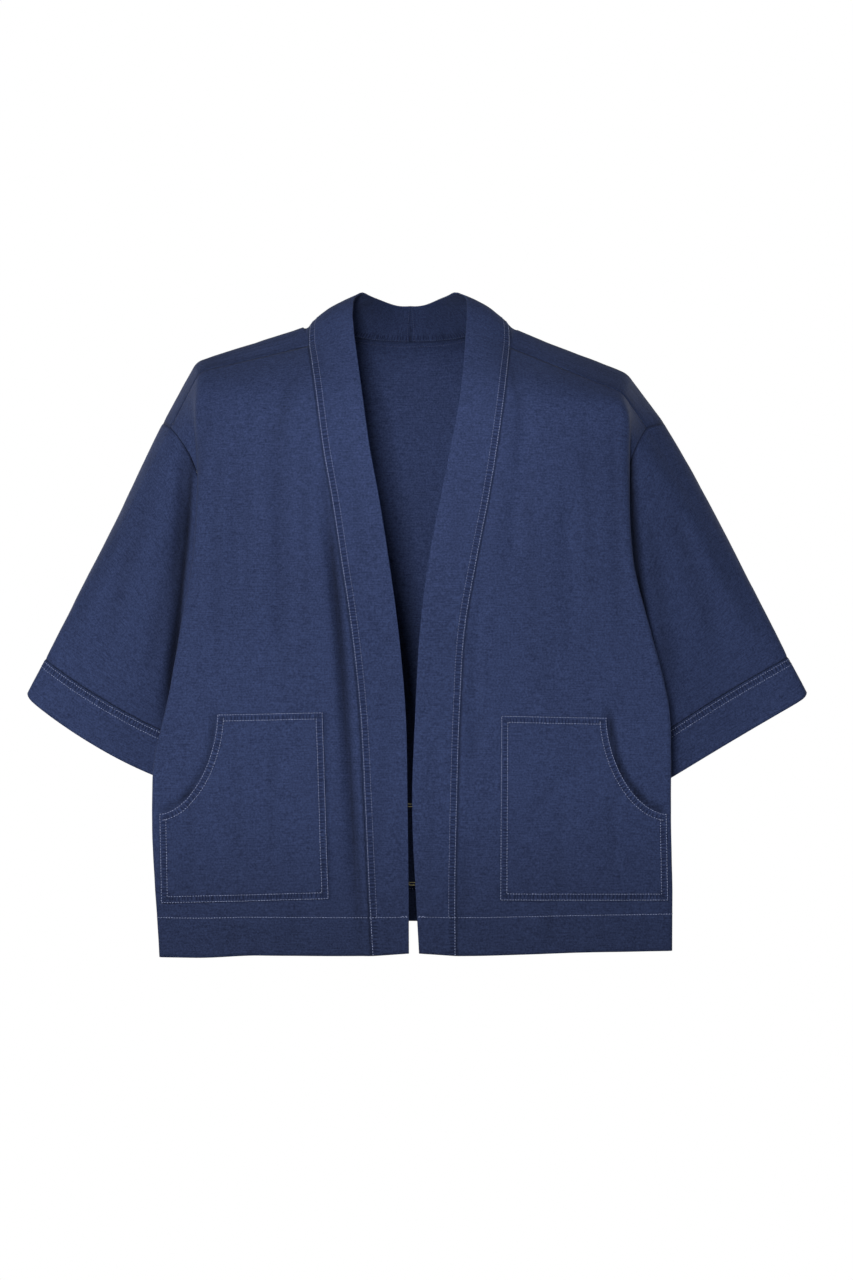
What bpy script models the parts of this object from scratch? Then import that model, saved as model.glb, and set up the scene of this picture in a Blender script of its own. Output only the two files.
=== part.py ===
"""Kimono jacket in indigo cotton, hollow as it hangs on a wearer's shoulders.

Metres. X runs to the viewer's right, Y away from the viewer and Z up. The origin is the
middle of the neck base. Left and right are as seen from the front.
"""

import math

import bmesh
import bpy
from mathutils import Vector

LEFT = -1
RIGHT = 1
SIDE_NAMES = {LEFT: "left", RIGHT: "right"}

# Cloth
CLOTH = 0.0010
DOUBLE_CLOTH = 0.0020
BAND_WALL = 0.0016
SEAM_GAP = 0.0003
HEM_DEPTH = 0.040

# Every panel line runs from 0 at the hem over UNDERARM to 1 at the shoulder seam
UNDERARM = 0.5
PANEL_SIDE_HEIGHT = 0.356
HEM_TOP = UNDERARM * HEM_DEPTH / PANEL_SIDE_HEIGHT
HEM_STEP = 0.0008
SIDE_CELLS = 8
ARMHOLE_CELLS = 13
# Narrow last cell at a sewn edge, so that both sides of the seam face the same way
SEAM_CELL = 0.012

# Across a panel: the flat part, the rounded side fold, then the flank to the edge
TURN_START = 0.70
TURN_END = 0.86
FLAT_LINES = (0.0, 0.03, 0.06, 0.095, 0.14, 0.24, 0.38, 0.54, 0.70)
TURN_CELLS = 4
FLANK_CELLS = 2
FRONT_CROWN = 0.004
FLANK_HOLLOW = 0.005
CROWN_FADE_RISE = 0.78
# Folds keep clear of the seams by these places across a panel
FOLD_FROM_SEAM = 0.05
FOLD_FROM_TURN = 0.10
BACK_FOLD_END = (0.80, 0.62)

# The back panel's middle, below the neck
CENTRE_BACK_X = -0.004
NECK_SHARE = 0.24
NECK_CELLS = 7
NECK_SEAM_CELL = 0.05
NECK_ARCH = 0.012
NECK_SPREAD = 0.016

# Shoulder seam: where it meets the neckband, turns at the shoulder and meets the armhole
# columns: left x, right x, y, z
SHOULDER_NECK = (-0.1195, 0.1102, -0.048, -0.026)
SHOULDER_CORNER = (-0.2420, 0.2350, -0.055, -0.056)
SHOULDER_EDGE = (-0.2760, 0.2650, -0.046, -0.119)
SHOULDER_RADIUS = 0.009
# One shoulder seam lies further forward than the other
SEAM_FORWARD = {LEFT: 0.0, RIGHT: 0.026}
SEAM_FORWARD_WAY = Vector((0.0, -0.70, -1.0))
SHOULDER_DROP = {LEFT: 0.0, RIGHT: 0.012}
# Rises between which the forward seam and the dropped shoulder come in
FRONT_SHIFT_RISE = 0.80
BACK_SHIFT_RISE = 0.955
DROP_RISES = (0.70, 0.92)
NECK_SHIFT = 0.08
NECK_DROP = 0.3
# One side of the front hangs a little lower at the hem, the other a little higher
HEM_SETTLE = {LEFT: -0.0035, RIGHT: 0.0035}
HEM_SETTLE_RISE = 0.12
HEM_SETTLE_PLACES = {LEFT: (0.38, 0.60), RIGHT: (0.0, 0.5)}

# Line of the neckband seam on the front
# columns: rise, left x, right x, y, z
SEAM_LINE = (
    (0.000, -0.0459, 0.0484, -0.1250, -0.7078),
    (0.077, -0.0492, 0.0479, -0.1250, -0.6500),
    (0.232, -0.0542, 0.0497, -0.1250, -0.5400),
    (0.372, -0.0594, 0.0528, -0.1250, -0.4400),
    (0.500, -0.0689, 0.0583, -0.1250, -0.3490),
    (0.620, -0.0806, 0.0717, -0.1245, -0.2700),
    (0.730, -0.0913, 0.0853, -0.1230, -0.2000),
    (0.810, -0.1002, 0.0936, -0.1200, -0.1500),
    (0.915, -0.1104, 0.1038, -0.1020, -0.0766),
    (1.000,) + SHOULDER_NECK,
)

# Corner of the soft fold down each side of the front
# columns: rise, left x, right x, y, z, radius
FOLD_LINE = (
    (0.000, -0.2850, 0.2908, -0.108, -0.708, 0.010),
    (0.077, -0.2887, 0.2911, -0.108, -0.650, 0.010),
    (0.232, -0.2926, 0.2900, -0.109, -0.540, 0.010),
    (0.300, -0.2905, 0.2898, -0.109, -0.492, 0.010),
    (0.372, -0.2790, 0.2885, -0.109, -0.440, 0.011),
    (0.500, -0.2612, 0.2674, -0.109, -0.349, 0.012),
    (0.620, -0.2482, 0.2477, -0.108, -0.270, 0.013),
    (0.730, -0.2424, 0.2428, -0.105, -0.200, 0.014),
    (0.810, -0.2399, 0.2422, -0.098, -0.150, 0.016),
    (0.915, -0.2405, 0.2375, -0.085, -0.086, 0.013),
    (1.000,) + SHOULDER_CORNER + (SHOULDER_RADIUS,),
)

# Side seam, shared by front and back, then the armhole seam of each
# columns: rise, left x, right x, y, z
SIDE_LINE = (
    (0.000, -0.2340, 0.2340, 0.000, -0.705),
    (0.250, -0.2270, 0.2270, 0.000, -0.527),
    (0.400, -0.2210, 0.2210, 0.000, -0.420),
    (0.500, -0.2240, 0.2240, 0.000, -0.349),
)
FRONT_ARMHOLE = (
    (0.500, -0.2240, 0.2240, 0.000, -0.349),
    (0.560, -0.2300, 0.2300, -0.036, -0.329),
    (0.640, -0.2340, 0.2340, -0.055, -0.270),
    (0.740, -0.2380, 0.2380, -0.063, -0.200),
    (0.840, -0.2490, 0.2450, -0.066, -0.158),
    (0.920, -0.2610, 0.2540, -0.064, -0.137),
    (1.000,) + SHOULDER_EDGE,
)
BACK_ARMHOLE = (
    (0.500, -0.2240, 0.2240, 0.000, -0.349),
    (0.560, -0.2300, 0.2300, 0.037, -0.329),
    (0.640, -0.2350, 0.2350, 0.056, -0.262),
    (0.740, -0.2450, 0.2450, 0.060, -0.194),
    (0.840, -0.2640, 0.2640, 0.046, -0.148),
    (0.920, -0.2830, 0.2825, 0.018, -0.119),
    (0.965, -0.2880, 0.2875, -0.018, -0.111),
    (1.000,) + SHOULDER_EDGE,
)

# Back: the centre line, the line below the neck point and the rounded corner
# columns: rise, y, z
CENTRE_LINE = (
    (0.000, 0.125, -0.7010),
    (0.250, 0.119, -0.5250),
    (0.500, 0.116, -0.3490),
    (0.620, 0.116, -0.2550),
    (0.740, 0.117, -0.1650),
    (0.840, 0.114, -0.0850),
    (0.920, 0.106, -0.0300),
    (1.000, 0.090, -0.0020),
)
# columns: rise, left x, right x, y, z
NECK_LINE = (
    (0.000, -0.116, 0.108, 0.114, -0.7020),
    (0.250, -0.116, 0.108, 0.109, -0.5250),
    (0.500, -0.116, 0.108, 0.107, -0.3490),
    (0.620, -0.118, 0.110, 0.107, -0.2550),
    (0.740, -0.120, 0.112, 0.104, -0.1650),
    (0.840, -0.126, 0.117, 0.086, -0.0850),
    (0.920, -0.131, 0.121, 0.038, -0.0180),
    (0.965, -0.1275, 0.1195, -0.008, 0.0005),
    (1.000,) + SHOULDER_NECK,
)
# columns: rise, left x, right x, y, z, radius
CORNER_LINE = (
    (0.000, -0.212, 0.212, 0.094, -0.704, 0.080),
    (0.250, -0.204, 0.204, 0.088, -0.525, 0.075),
    (0.500, -0.200, 0.200, 0.088, -0.349, 0.060),
    (0.620, -0.210, 0.210, 0.097, -0.262, 0.036),
    (0.740, -0.223, 0.223, 0.098, -0.188, 0.028),
    (0.840, -0.239, 0.239, 0.076, -0.122, 0.022),
    (0.920, -0.248, 0.246, 0.034, -0.062, 0.012),
    (0.965, -0.250, 0.246, -0.010, -0.039, 0.008),
    (1.000,) + SHOULDER_CORNER + (SHOULDER_RADIUS,),
)
# How far a row's middle follows the round neck instead of the flat back
# columns: rise, share
NECK_BOW = (
    (0.00, 0.0),
    (0.74, 0.0),
    (0.84, 0.12),
    (0.92, 0.45),
    (0.965, 0.75),
    (1.00, 1.0),
)

# Free edge of the neckband: up to 1 along the front, then to 2 at the centre back
# columns: reach, left x, right x, y, z
BAND_EDGE = (
    (0.000, -0.0044, 0.0066, -0.1250, -0.7050),
    (0.077, -0.0047, 0.0036, -0.1250, -0.6500),
    (0.232, -0.0060, -0.0009, -0.1250, -0.5400),
    (0.372, -0.0081, 0.0025, -0.1250, -0.4400),
    (0.500, -0.0161, 0.0077, -0.1250, -0.3490),
    (0.620, -0.0268, 0.0175, -0.1248, -0.2700),
    (0.730, -0.0380, 0.0308, -0.1235, -0.2000),
    (0.810, -0.0473, 0.0407, -0.1200, -0.1500),
    (0.915, -0.0572, 0.0531, -0.1040, -0.0805),
    (1.000, -0.0680, 0.0600, -0.0600, -0.0060),
    (1.110, -0.0690, 0.0610, -0.0390, 0.0210),
    (1.200, -0.0680, 0.0600, -0.0200, 0.0340),
    (1.286, -0.0605, 0.0485, -0.0060, 0.0418),
    (1.380, -0.0510, 0.0395, 0.0120, 0.0405),
    (1.500, -0.0419, 0.0306, 0.0280, 0.0390),
    (1.750, -0.0210, 0.0119, 0.0510, 0.0350),
    (2.000, CENTRE_BACK_X, CENTRE_BACK_X, 0.0570, 0.0350),
)
# How far the neckband's middle stands out from the straight line between its edges
# columns: reach, height
BAND_CROWN = (
    (0.00, 0.0),
    (0.70, 0.0),
    (0.85, 0.0),
    (1.00, 0.0015),
    (1.15, 0.0036),
    (1.40, 0.0020),
    (2.00, 0.0005),
)
BAND_LINES = (0.0, 0.08, 0.36, 0.68, 1.0)

# Cuffs: the ends of the sleeve's flattened tube, seen from the front
# columns: x, z
CUFF_OUTER_END = {LEFT: (-0.4452, -0.4243), RIGHT: (0.4531, -0.4240)}
CUFF_INNER_END = {LEFT: (-0.2740, -0.5240), RIGHT: (0.2800, -0.5270)}
CUFF_OUTER_SEAM = {LEFT: (-0.4228, -0.3819), RIGHT: (0.4296, -0.3796)}
CUFF_INNER_SEAM = {LEFT: (-0.2640, -0.4740), RIGHT: (0.2700, -0.4775)}
# How far the cuff's seam and its lower edge hang below the straight line between their ends
CUFF_SEAM_BOW = {LEFT: 0.006, RIGHT: -0.004}
CUFF_END_BOW = {LEFT: 0.009, RIGHT: -0.002}
# Share of its depth by which the cuff's outer corner is rounded off, and the reach of that
CUFF_CORNER = 0.09
CUFF_CORNER_REACH = 0.28
SLEEVE_Y = -0.015
CUFF_HALF_THICKNESS = 0.021
CUFF_SQUARENESS = 0.62
SLEEVE_ROWS = 8
SLEEVE_FULLNESS = 0.010
SLEEVE_UNDER_BULGE = 0.012
# Fullness of the sleeve's top line, seen from the front
SLEEVE_TOP_BOW = {LEFT: -0.001, RIGHT: 0.0034}
SLEEVE_TOP_WAY = (0.885, 0.466)
CUFF_ROWS = 2
CUFF_PROUD = 0.0006

# Corners of the pockets as sewn on; the hand opening curves from its side to its top corner
# columns: x, z
POCKET_BASE_INNER = {LEFT: (-0.0925, -0.6450), RIGHT: (0.0957, -0.6465)}
POCKET_BASE_OUTER = {LEFT: (-0.2786, -0.6515), RIGHT: (0.2822, -0.6485)}
POCKET_TOP_INNER = {LEFT: (-0.0991, -0.4392), RIGHT: (0.0968, -0.4430)}
POCKET_TOP_OUTER = {LEFT: (-0.2160, -0.4420), RIGHT: (0.2133, -0.4455)}
POCKET_SIDE_X = {LEFT: -0.2805, RIGHT: 0.2806}
POCKET_SIDE_SHARE = 0.475
POCKET_ROUNDNESS = 1.8
POCKET_COLUMNS = 7
POCKET_LOWER_ROWS = 3
POCKET_CURVE_ROWS = 7

# Largest folds of the hanging cloth, as soft troughs (plus) and ridges (minus) in Y
# columns: side, lower rise, upper rise, place across below, place across above, depth, width
FRONT_FOLDS = (
    (LEFT, 0.05, 0.74, 0.048, 0.055, 0.0035, 0.020),
    (LEFT, 0.42, 0.90, 0.300, 0.270, 0.0040, 0.060),
    (LEFT, 0.42, 0.86, 0.540, 0.500, 0.0035, 0.060),
    (RIGHT, 0.22, 0.62, 0.045, 0.045, 0.0025, 0.022),
    (RIGHT, 0.55, 0.95, 0.160, 0.130, 0.0035, 0.050),
    (RIGHT, 0.42, 0.80, 0.440, 0.420, 0.0035, 0.060),
)
# columns: lower rise, upper rise, place across below, place across above, depth, width
BACK_FOLDS = (
    (0.02, 0.78, -0.44, -0.40, 0.0045, 0.120),
    (0.02, 0.70, -0.08, -0.05, 0.0025, 0.060),
    (0.02, 0.74, 0.16, 0.12, 0.0030, 0.060),
    (0.02, 0.80, 0.48, 0.44, 0.0045, 0.120),
)
FOLD_FADE = 0.12

# A height is found on the front by halving, along this place across it
FIND_STEPS = 30
FIND_PLACE = 0.3
FIND_BEYOND_TURN = 0.04
NORMAL_STEP = 0.002
BAND_NORMAL_STEP = 0.01

# Hooks and eyes of bent wire behind the front edges
HOOK_HEIGHTS = {"upper": -0.5420, "lower": -0.6285}
WIRE_RADIUS = 0.00045
EYE_HALF_SPREAD = 0.0014
EYE_RING_RADIUS = 0.0016
EYE_ROOT = 0.0045
EYE_REACH = 0.0110
HOOK_BEND_RADIUS = 0.0013
HOOK_SHANK = 0.0090
HOOK_BILL = 0.0022
WIRE_TURN_STEPS = 5
# How far the hook's bend stands past the eye's tip, in wire radii
HOOK_CLEARANCE = 2.8

INDIGO = (0.035, 0.050, 0.115, 1.0)
GUNMETAL = (0.10, 0.10, 0.08, 1.0)


def clear_scene():
    for old in list(bpy.data.objects):
        bpy.data.objects.remove(old, do_unlink=True)


def blend(start, finish, share):
    return start + (finish - start) * share


def smooth_step(low, high, value):
    share = min(max((value - low) / (high - low), 0.0), 1.0)
    return share * share * (3.0 - 2.0 * share)


def spline(rows, knot):
    """Smooth curve through a table's rows, each of which starts with its knot."""
    last = len(rows) - 1
    index = 0
    while index < last - 1 and knot > rows[index + 1][0]:
        index += 1

    def slope(place, column):
        if place in (0, last):
            beside = 1 if place == 0 else last - 1
            chord = (rows[beside][column] - rows[place][column]) / (rows[beside][0] - rows[place][0])
            return 1.5 * chord - 0.5 * slope(beside, column)
        before, here, after = rows[place - 1], rows[place], rows[place + 1]
        step_in = here[0] - before[0]
        step_out = after[0] - here[0]
        slope_in = (here[column] - before[column]) / step_in
        slope_out = (after[column] - here[column]) / step_out
        return (slope_in * step_out + slope_out * step_in) / (step_in + step_out)

    start, finish = rows[index], rows[index + 1]
    step = finish[0] - start[0]
    share = min(max((knot - start[0]) / step, 0.0), 1.0)
    values = []
    for column in range(1, len(start)):
        rise_in = slope(index, column) * step
        rise_out = slope(index + 1, column) * step
        gap = finish[column] - start[column]
        curve = (rise_in - 2.0 * gap + rise_out) * share
        curve = (curve + 3.0 * gap - 2.0 * rise_in - rise_out) * share
        values.append(start[column] + (curve + rise_in) * share)
    return values


def line_point(line, side, rise):
    values = spline(line, rise)
    x = values[0] if side == LEFT else values[1]
    return Vector((x, values[2], values[3]))


def edge_point(side, rise, armhole):
    """Point on the side seam, or above the underarm on the given armhole seam."""
    if rise <= UNDERARM:
        return line_point(SIDE_LINE, side, rise)
    return line_point(armhole, side, rise)


def seam_shift(side, share, reach):
    """How far the shoulder seam lies forward of its usual place."""
    return SEAM_FORWARD_WAY * (SEAM_FORWARD[side] * share * reach)


def across(inner, corner, edge, radius, place):
    """Point from the inner line over the rounded corner to the edge."""
    start = corner + (inner - corner).normalized() * radius
    finish = corner + (edge - corner).normalized() * radius
    if place <= TURN_START:
        return blend(inner, start, place / TURN_START)
    if place <= TURN_END:
        share = (place - TURN_START) / (TURN_END - TURN_START)
        return blend(blend(start, corner, share), blend(corner, finish, share), share)
    return blend(finish, edge, (place - TURN_END) / (1.0 - TURN_END))


def fold_depth(folds, place, rise):
    """Sum of the soft folds at a place across and a rise up the panel."""
    depth = 0.0
    for low, high, place_low, place_high, size, width in folds:
        along = (rise - low) / (high - low)
        fade = smooth_step(low, low + FOLD_FADE, rise) * smooth_step(high, high - FOLD_FADE, rise)
        middle = blend(place_low, place_high, along)
        depth += size * fade * math.exp(-((place - middle) / width) ** 2)
    return depth


def front_point(side, place, rise):
    """Outer face of a front: place 0 at the neckband seam, 1 at the side or armhole seam."""
    settled = smooth_step(FRONT_SHIFT_RISE, 1.0, rise)
    seam = line_point(SEAM_LINE, side, rise) + seam_shift(side, settled, NECK_SHIFT)
    corner = line_point(FOLD_LINE, side, rise) + seam_shift(side, settled, 1.0)
    radius = spline(FOLD_LINE, rise)[4]
    edge = edge_point(side, rise, FRONT_ARMHOLE)
    point = across(seam, corner, edge, radius, place)
    rounded = 1.0 - smooth_step(CROWN_FADE_RISE, 1.0, rise)
    if place < TURN_START:
        point.y -= FRONT_CROWN * rounded * math.sin(math.pi * place / TURN_START)
    elif place > TURN_END:
        flank = (place - TURN_END) / (1.0 - TURN_END)
        point.x -= side * FLANK_HOLLOW * rounded * math.sin(math.pi * flank)
    own_folds = [row[1:] for row in FRONT_FOLDS if row[0] == side]
    edge_hold = smooth_step(0.0, FOLD_FROM_SEAM, place)
    edge_hold *= smooth_step(TURN_START, TURN_START - FOLD_FROM_TURN, place)
    point.y += edge_hold * fold_depth(own_folds, place, rise)
    settle = smooth_step(*HEM_SETTLE_PLACES[side], place) * smooth_step(HEM_SETTLE_RISE, 0.0, rise)
    point.z += HEM_SETTLE[side] * settle
    return point


def back_point(place, rise):
    """Outer face of the back: place -1 at the left edge, 0 at the centre, 1 at the right edge."""
    side = LEFT if place < 0.0 else RIGHT
    distance = abs(place)
    at_seam = smooth_step(BACK_SHIFT_RISE, 1.0, rise)
    lowered = Vector((0.0, 0.0, -SHOULDER_DROP[side])) * smooth_step(*DROP_RISES, rise)
    neck = line_point(NECK_LINE, side, rise) + lowered * NECK_DROP * (1.0 - at_seam)
    neck += seam_shift(side, at_seam, NECK_SHIFT)
    corner = line_point(CORNER_LINE, side, rise) + lowered * (1.0 - at_seam)
    corner += seam_shift(side, at_seam, 1.0)
    if distance > NECK_SHARE:
        radius = spline(CORNER_LINE, rise)[4]
        edge = edge_point(side, rise, BACK_ARMHOLE)
        beyond = (distance - NECK_SHARE) / (1.0 - NECK_SHARE)
        point = across(neck, corner, edge, radius, beyond)
    else:
        share = distance / NECK_SHARE
        centre_y, centre_z = spline(CENTRE_LINE, rise)
        bow = spline(NECK_BOW, rise)[0]
        turn = 0.5 * math.pi * share
        out = blend(share, math.sin(turn) + NECK_SPREAD * math.sin(math.pi * share ** 3), bow)
        back_off = blend(share ** 2, 1.0 - math.cos(turn), bow)
        fall = blend(share ** 2, share ** 10, bow)
        point = Vector((
            blend(CENTRE_BACK_X, neck.x, out),
            blend(centre_y, neck.y, back_off),
            blend(centre_z, neck.z, fall) + NECK_ARCH * bow * math.sin(math.pi * share ** 3),
        ))
    edge_hold = smooth_step(*BACK_FOLD_END, distance)
    point.y -= edge_hold * fold_depth(BACK_FOLDS, place, rise)
    return point


def armhole_loop(side):
    """Armhole seam from the underarm up the front, over the top and down the back."""
    rises = rise_lines()
    upper = [rise for rise in rises if rise >= UNDERARM]
    front = [front_point(side, 1.0, rise) for rise in upper]
    back = [back_point(side * 1.0, rise) for rise in reversed(upper[1:-1])]
    return front + back


def cuff_ring(side, outer, inner, bow, proud, angles):
    """Flattened ring across the sleeve, from its underarm fold round the front."""
    outer_point = Vector((outer[side][0], SLEEVE_Y, outer[side][1]))
    inner_point = Vector((inner[side][0], SLEEVE_Y, inner[side][1]))
    centre = (outer_point + inner_point) / 2.0
    half = (inner_point - outer_point) / 2.0
    half += half.normalized() * proud
    ring = []
    for angle in angles:
        deep = abs(math.sin(angle)) ** CUFF_SQUARENESS
        toward = -1.0 if math.sin(angle) >= 0.0 else 1.0
        drop = -bow[side] * math.sin(angle) ** 2
        shift = Vector((0.0, toward * deep * (CUFF_HALF_THICKNESS + proud), drop))
        ring.append(centre + half * math.cos(angle) + shift)
    return ring


def cuff_rings(side, angles):
    """Seam and lower edge of a cuff, whose corner at the outer fold is rounded off."""
    seam = cuff_ring(side, CUFF_OUTER_SEAM, CUFF_INNER_SEAM, CUFF_SEAM_BOW, CUFF_PROUD, angles)
    end = cuff_ring(side, CUFF_OUTER_END, CUFF_INNER_END, CUFF_END_BOW, CUFF_PROUD, angles)
    rounded = []
    for start, finish, angle in zip(seam, end, angles):
        drawn_in = CUFF_CORNER * math.exp(-((angle - math.pi) / CUFF_CORNER_REACH) ** 2)
        rounded.append(blend(finish, start, drawn_in))
    return seam, rounded


def ring_angles(loop):
    """Angle of each ring column, from its share of the armhole's length."""
    count = len(loop)
    lengths = [(loop[(i + 1) % count] - loop[i]).length for i in range(count)]
    total = sum(lengths)
    angles = []
    travelled = 0.0
    for length in lengths:
        angles.append(2.0 * math.pi * travelled / total)
        travelled += length
    return angles


def rise_lines():
    """Rises of the grid lines shared by the fronts, the back, the sleeves and the neckband."""
    side = [HEM_TOP + (UNDERARM - HEM_TOP) * i / (SIDE_CELLS - 1) for i in range(SIDE_CELLS)]
    arm = [UNDERARM + (1.0 - UNDERARM) * i / ARMHOLE_CELLS for i in range(1, ARMHOLE_CELLS)]
    return [0.0, HEM_TOP - HEM_STEP] + side + arm + [1.0 - SEAM_CELL, 1.0]


def place_lines():
    """Places of the grid lines across a front."""
    turn = [TURN_START + (TURN_END - TURN_START) * i / TURN_CELLS for i in range(1, TURN_CELLS + 1)]
    flank = [TURN_END + (1.0 - TURN_END) * i / FLANK_CELLS for i in range(1, FLANK_CELLS)]
    return list(FLAT_LINES) + turn + flank + [1.0 - SEAM_CELL, 1.0]


def neck_shares():
    """Shares of the way from the centre back to the neck point, at the back's grid lines."""
    return [0.0, NECK_SEAM_CELL] + [i / NECK_CELLS for i in range(1, NECK_CELLS)]


def back_place_lines():
    """Places across the back: the neck's lines in the middle, the fronts' lines at the sides."""
    neck = [NECK_SHARE * share for share in neck_shares()]
    half = neck + [NECK_SHARE + (1.0 - NECK_SHARE) * place for place in place_lines()]
    return [-place for place in reversed(half[1:])] + half


def material(name, color, roughness, metallic):
    finish = bpy.data.materials.new(name)
    finish.use_nodes = True
    shader = finish.node_tree.nodes["Principled BSDF"]
    shader.inputs["Base Color"].default_value = color
    shader.inputs["Roughness"].default_value = roughness
    shader.inputs["Metallic"].default_value = metallic
    finish.diffuse_color = color
    return finish


def finish_object(bm, name, color=INDIGO, roughness=0.9, metallic=0.0):
    mesh = bpy.data.meshes.new(name)
    bm.to_mesh(mesh)
    bm.free()
    mesh.materials.append(material(name + "_finish", color, roughness, metallic))
    mesh.shade_smooth()
    piece = bpy.data.objects.new(name, mesh)
    bpy.context.scene.collection.objects.link(piece)
    return piece


def part_seams(bm, gap):
    """Draws each open edge back by half the gap, so that sewn neighbours stay apart."""
    moves = {}
    for vertex in bm.verts:
        if not vertex.is_boundary:
            continue
        inward = Vector()
        for edge in vertex.link_edges:
            other = edge.other_vert(vertex)
            if not edge.is_boundary:
                inward += (other.co - vertex.co).normalized()
        if inward.length == 0.0:
            for edge in vertex.link_edges:
                inward += (edge.other_vert(vertex).co - vertex.co).normalized()
            moves[vertex] = inward * gap / 2.0
        else:
            moves[vertex] = inward.normalized() * gap / 2.0
    for vertex, move in moves.items():
        vertex.co += move


def sheet_grid(across_count, up_count, point_at):
    """Grid of cloth whose vertex in column i and row j goes to point_at(i, j)."""
    bm = bmesh.new()
    bmesh.ops.create_grid(bm, x_segments=across_count, y_segments=up_count, size=0.5)
    for vertex in bm.verts:
        column = round((vertex.co.x + 0.5) * across_count)
        row = round((vertex.co.y + 0.5) * up_count)
        vertex.co = point_at(column, row)
    return bm


def thicken(piece, wall):
    solid = piece.modifiers.new("cloth wall", "SOLIDIFY")
    solid.thickness = wall
    solid.offset = -1.0
    solid.use_even_offset = False
    solid.use_rim = True
    return solid


def thicken_with_hem(piece, hem_rows, columns):
    """Single cloth, doubled where the hem is turned up inside."""
    hem = piece.vertex_groups.new(name="turned-up hem")
    hem.add(list(range(hem_rows * (columns + 1))), 1.0, "REPLACE")
    solid = thicken(piece, DOUBLE_CLOTH)
    solid.vertex_group = hem.name
    solid.thickness_vertex_group = CLOTH / DOUBLE_CLOTH


def make_front(side):
    places = place_lines()
    rises = rise_lines()
    columns = len(places) - 1

    def point_at(column, row):
        # The columns run towards +X, so that the faces look outwards
        place = places[column] if side == RIGHT else places[columns - column]
        return front_point(side, place, rises[row])

    bm = sheet_grid(columns, len(rises) - 1, point_at)
    part_seams(bm, SEAM_GAP)
    piece = finish_object(bm, "front_" + SIDE_NAMES[side])
    thicken_with_hem(piece, 2, columns)
    return piece


def make_back():
    places = back_place_lines()
    rises = rise_lines()
    columns = len(places) - 1

    def point_at(column, row):
        return back_point(places[columns - column], rises[row])

    bm = sheet_grid(columns, len(rises) - 1, point_at)
    part_seams(bm, SEAM_GAP)
    piece = finish_object(bm, "back")
    thicken_with_hem(piece, 2, columns)
    return piece


def make_tube(name, rings, wall, gap):
    """Closed tube of cloth through rings of equal count."""
    count = len(rings[0])
    bm = sheet_grid(count, len(rings) - 1, lambda column, row: rings[row][column % count])
    bmesh.ops.remove_doubles(bm, verts=bm.verts, dist=0.00001)
    part_seams(bm, gap)
    bmesh.ops.recalc_face_normals(bm, faces=bm.faces)
    piece = finish_object(bm, name)
    thicken(piece, wall)
    return piece


def make_sleeve(side):
    loop = armhole_loop(side)
    angles = ring_angles(loop)
    seam = cuff_ring(side, CUFF_OUTER_SEAM, CUFF_INNER_SEAM, CUFF_SEAM_BOW, 0.0, angles)
    rings = []
    for row in range(SLEEVE_ROWS + 1):
        share = row / SLEEVE_ROWS
        swell = math.sin(math.pi * share)
        ring = []
        for start, finish, angle in zip(loop, seam, angles):
            point = blend(start, finish, share)
            point.y -= SLEEVE_FULLNESS * swell * math.sin(angle)
            under = max(math.cos(angle), 0.0) ** 2
            point.x += side * SLEEVE_UNDER_BULGE * swell * under
            top = SLEEVE_TOP_BOW[side] * swell * max(-math.cos(angle), 0.0) ** 2
            point.x += side * SLEEVE_TOP_WAY[0] * top
            point.z += SLEEVE_TOP_WAY[1] * top
            ring.append(point)
        rings.append(ring)
    return make_tube("sleeve_" + SIDE_NAMES[side], rings, CLOTH, SEAM_GAP)


def make_cuff(side):
    angles = ring_angles(armhole_loop(side))
    seam, end = cuff_rings(side, angles)
    rings = []
    for row in range(CUFF_ROWS + 1):
        share = row / CUFF_ROWS
        rings.append([blend(start, finish, share) for start, finish in zip(seam, end)])
    return make_tube("cuff_" + SIDE_NAMES[side], rings, DOUBLE_CLOTH, SEAM_GAP)


def band_seam(side, reach):
    """Seam of the neckband: up to 1 along the front, then round the neck to 2."""
    if reach <= 1.0:
        return front_point(side, 0.0, reach)
    return back_point(side * (2.0 - reach) * NECK_SHARE, 1.0)


def band_point(side, share, reach):
    """Outer face of the neckband: share 0 at its seam, 1 at its free edge."""
    seam = band_seam(side, reach)
    edge = line_point(BAND_EDGE, side, reach)
    above = min(reach + BAND_NORMAL_STEP, 2.0)
    below = reach - BAND_NORMAL_STEP
    ahead = line_point(BAND_EDGE, side, above) + band_seam(side, above)
    behind = line_point(BAND_EDGE, side, below) + band_seam(side, below)
    outward = (edge - seam).cross(ahead - behind).normalized() * -side
    crown = spline(BAND_CROWN, reach)[0] * math.sin(math.pi * share)
    return blend(seam, edge, share) + outward * crown


def make_neckband(side):
    reaches = rise_lines() + [2.0 - share for share in reversed(neck_shares())]
    columns = len(BAND_LINES) - 1

    def point_at(column, row):
        line = column if side == LEFT else columns - column
        return band_point(side, BAND_LINES[line], reaches[row])

    bm = sheet_grid(columns, len(reaches) - 1, point_at)
    part_seams(bm, SEAM_GAP)
    piece = finish_object(bm, "neckband_" + SIDE_NAMES[side])
    thicken(piece, BAND_WALL)
    return piece


def find_rise(side, height):
    """Rise at which the flat of the front reaches a height."""
    low, high = 0.0, 1.0
    for _ in range(FIND_STEPS):
        middle = (low + high) / 2.0
        if front_point(side, FIND_PLACE, middle).z < height:
            low = middle
        else:
            high = middle
    return (low + high) / 2.0


def find_place(side, rise, x):
    """Place across the front at which it reaches a distance from the middle."""
    low, high = 0.0, TURN_START + FIND_BEYOND_TURN
    for _ in range(FIND_STEPS):
        middle = (low + high) / 2.0
        if abs(front_point(side, middle, rise).x) < abs(x):
            low = middle
        else:
            high = middle
    return (low + high) / 2.0


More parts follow.
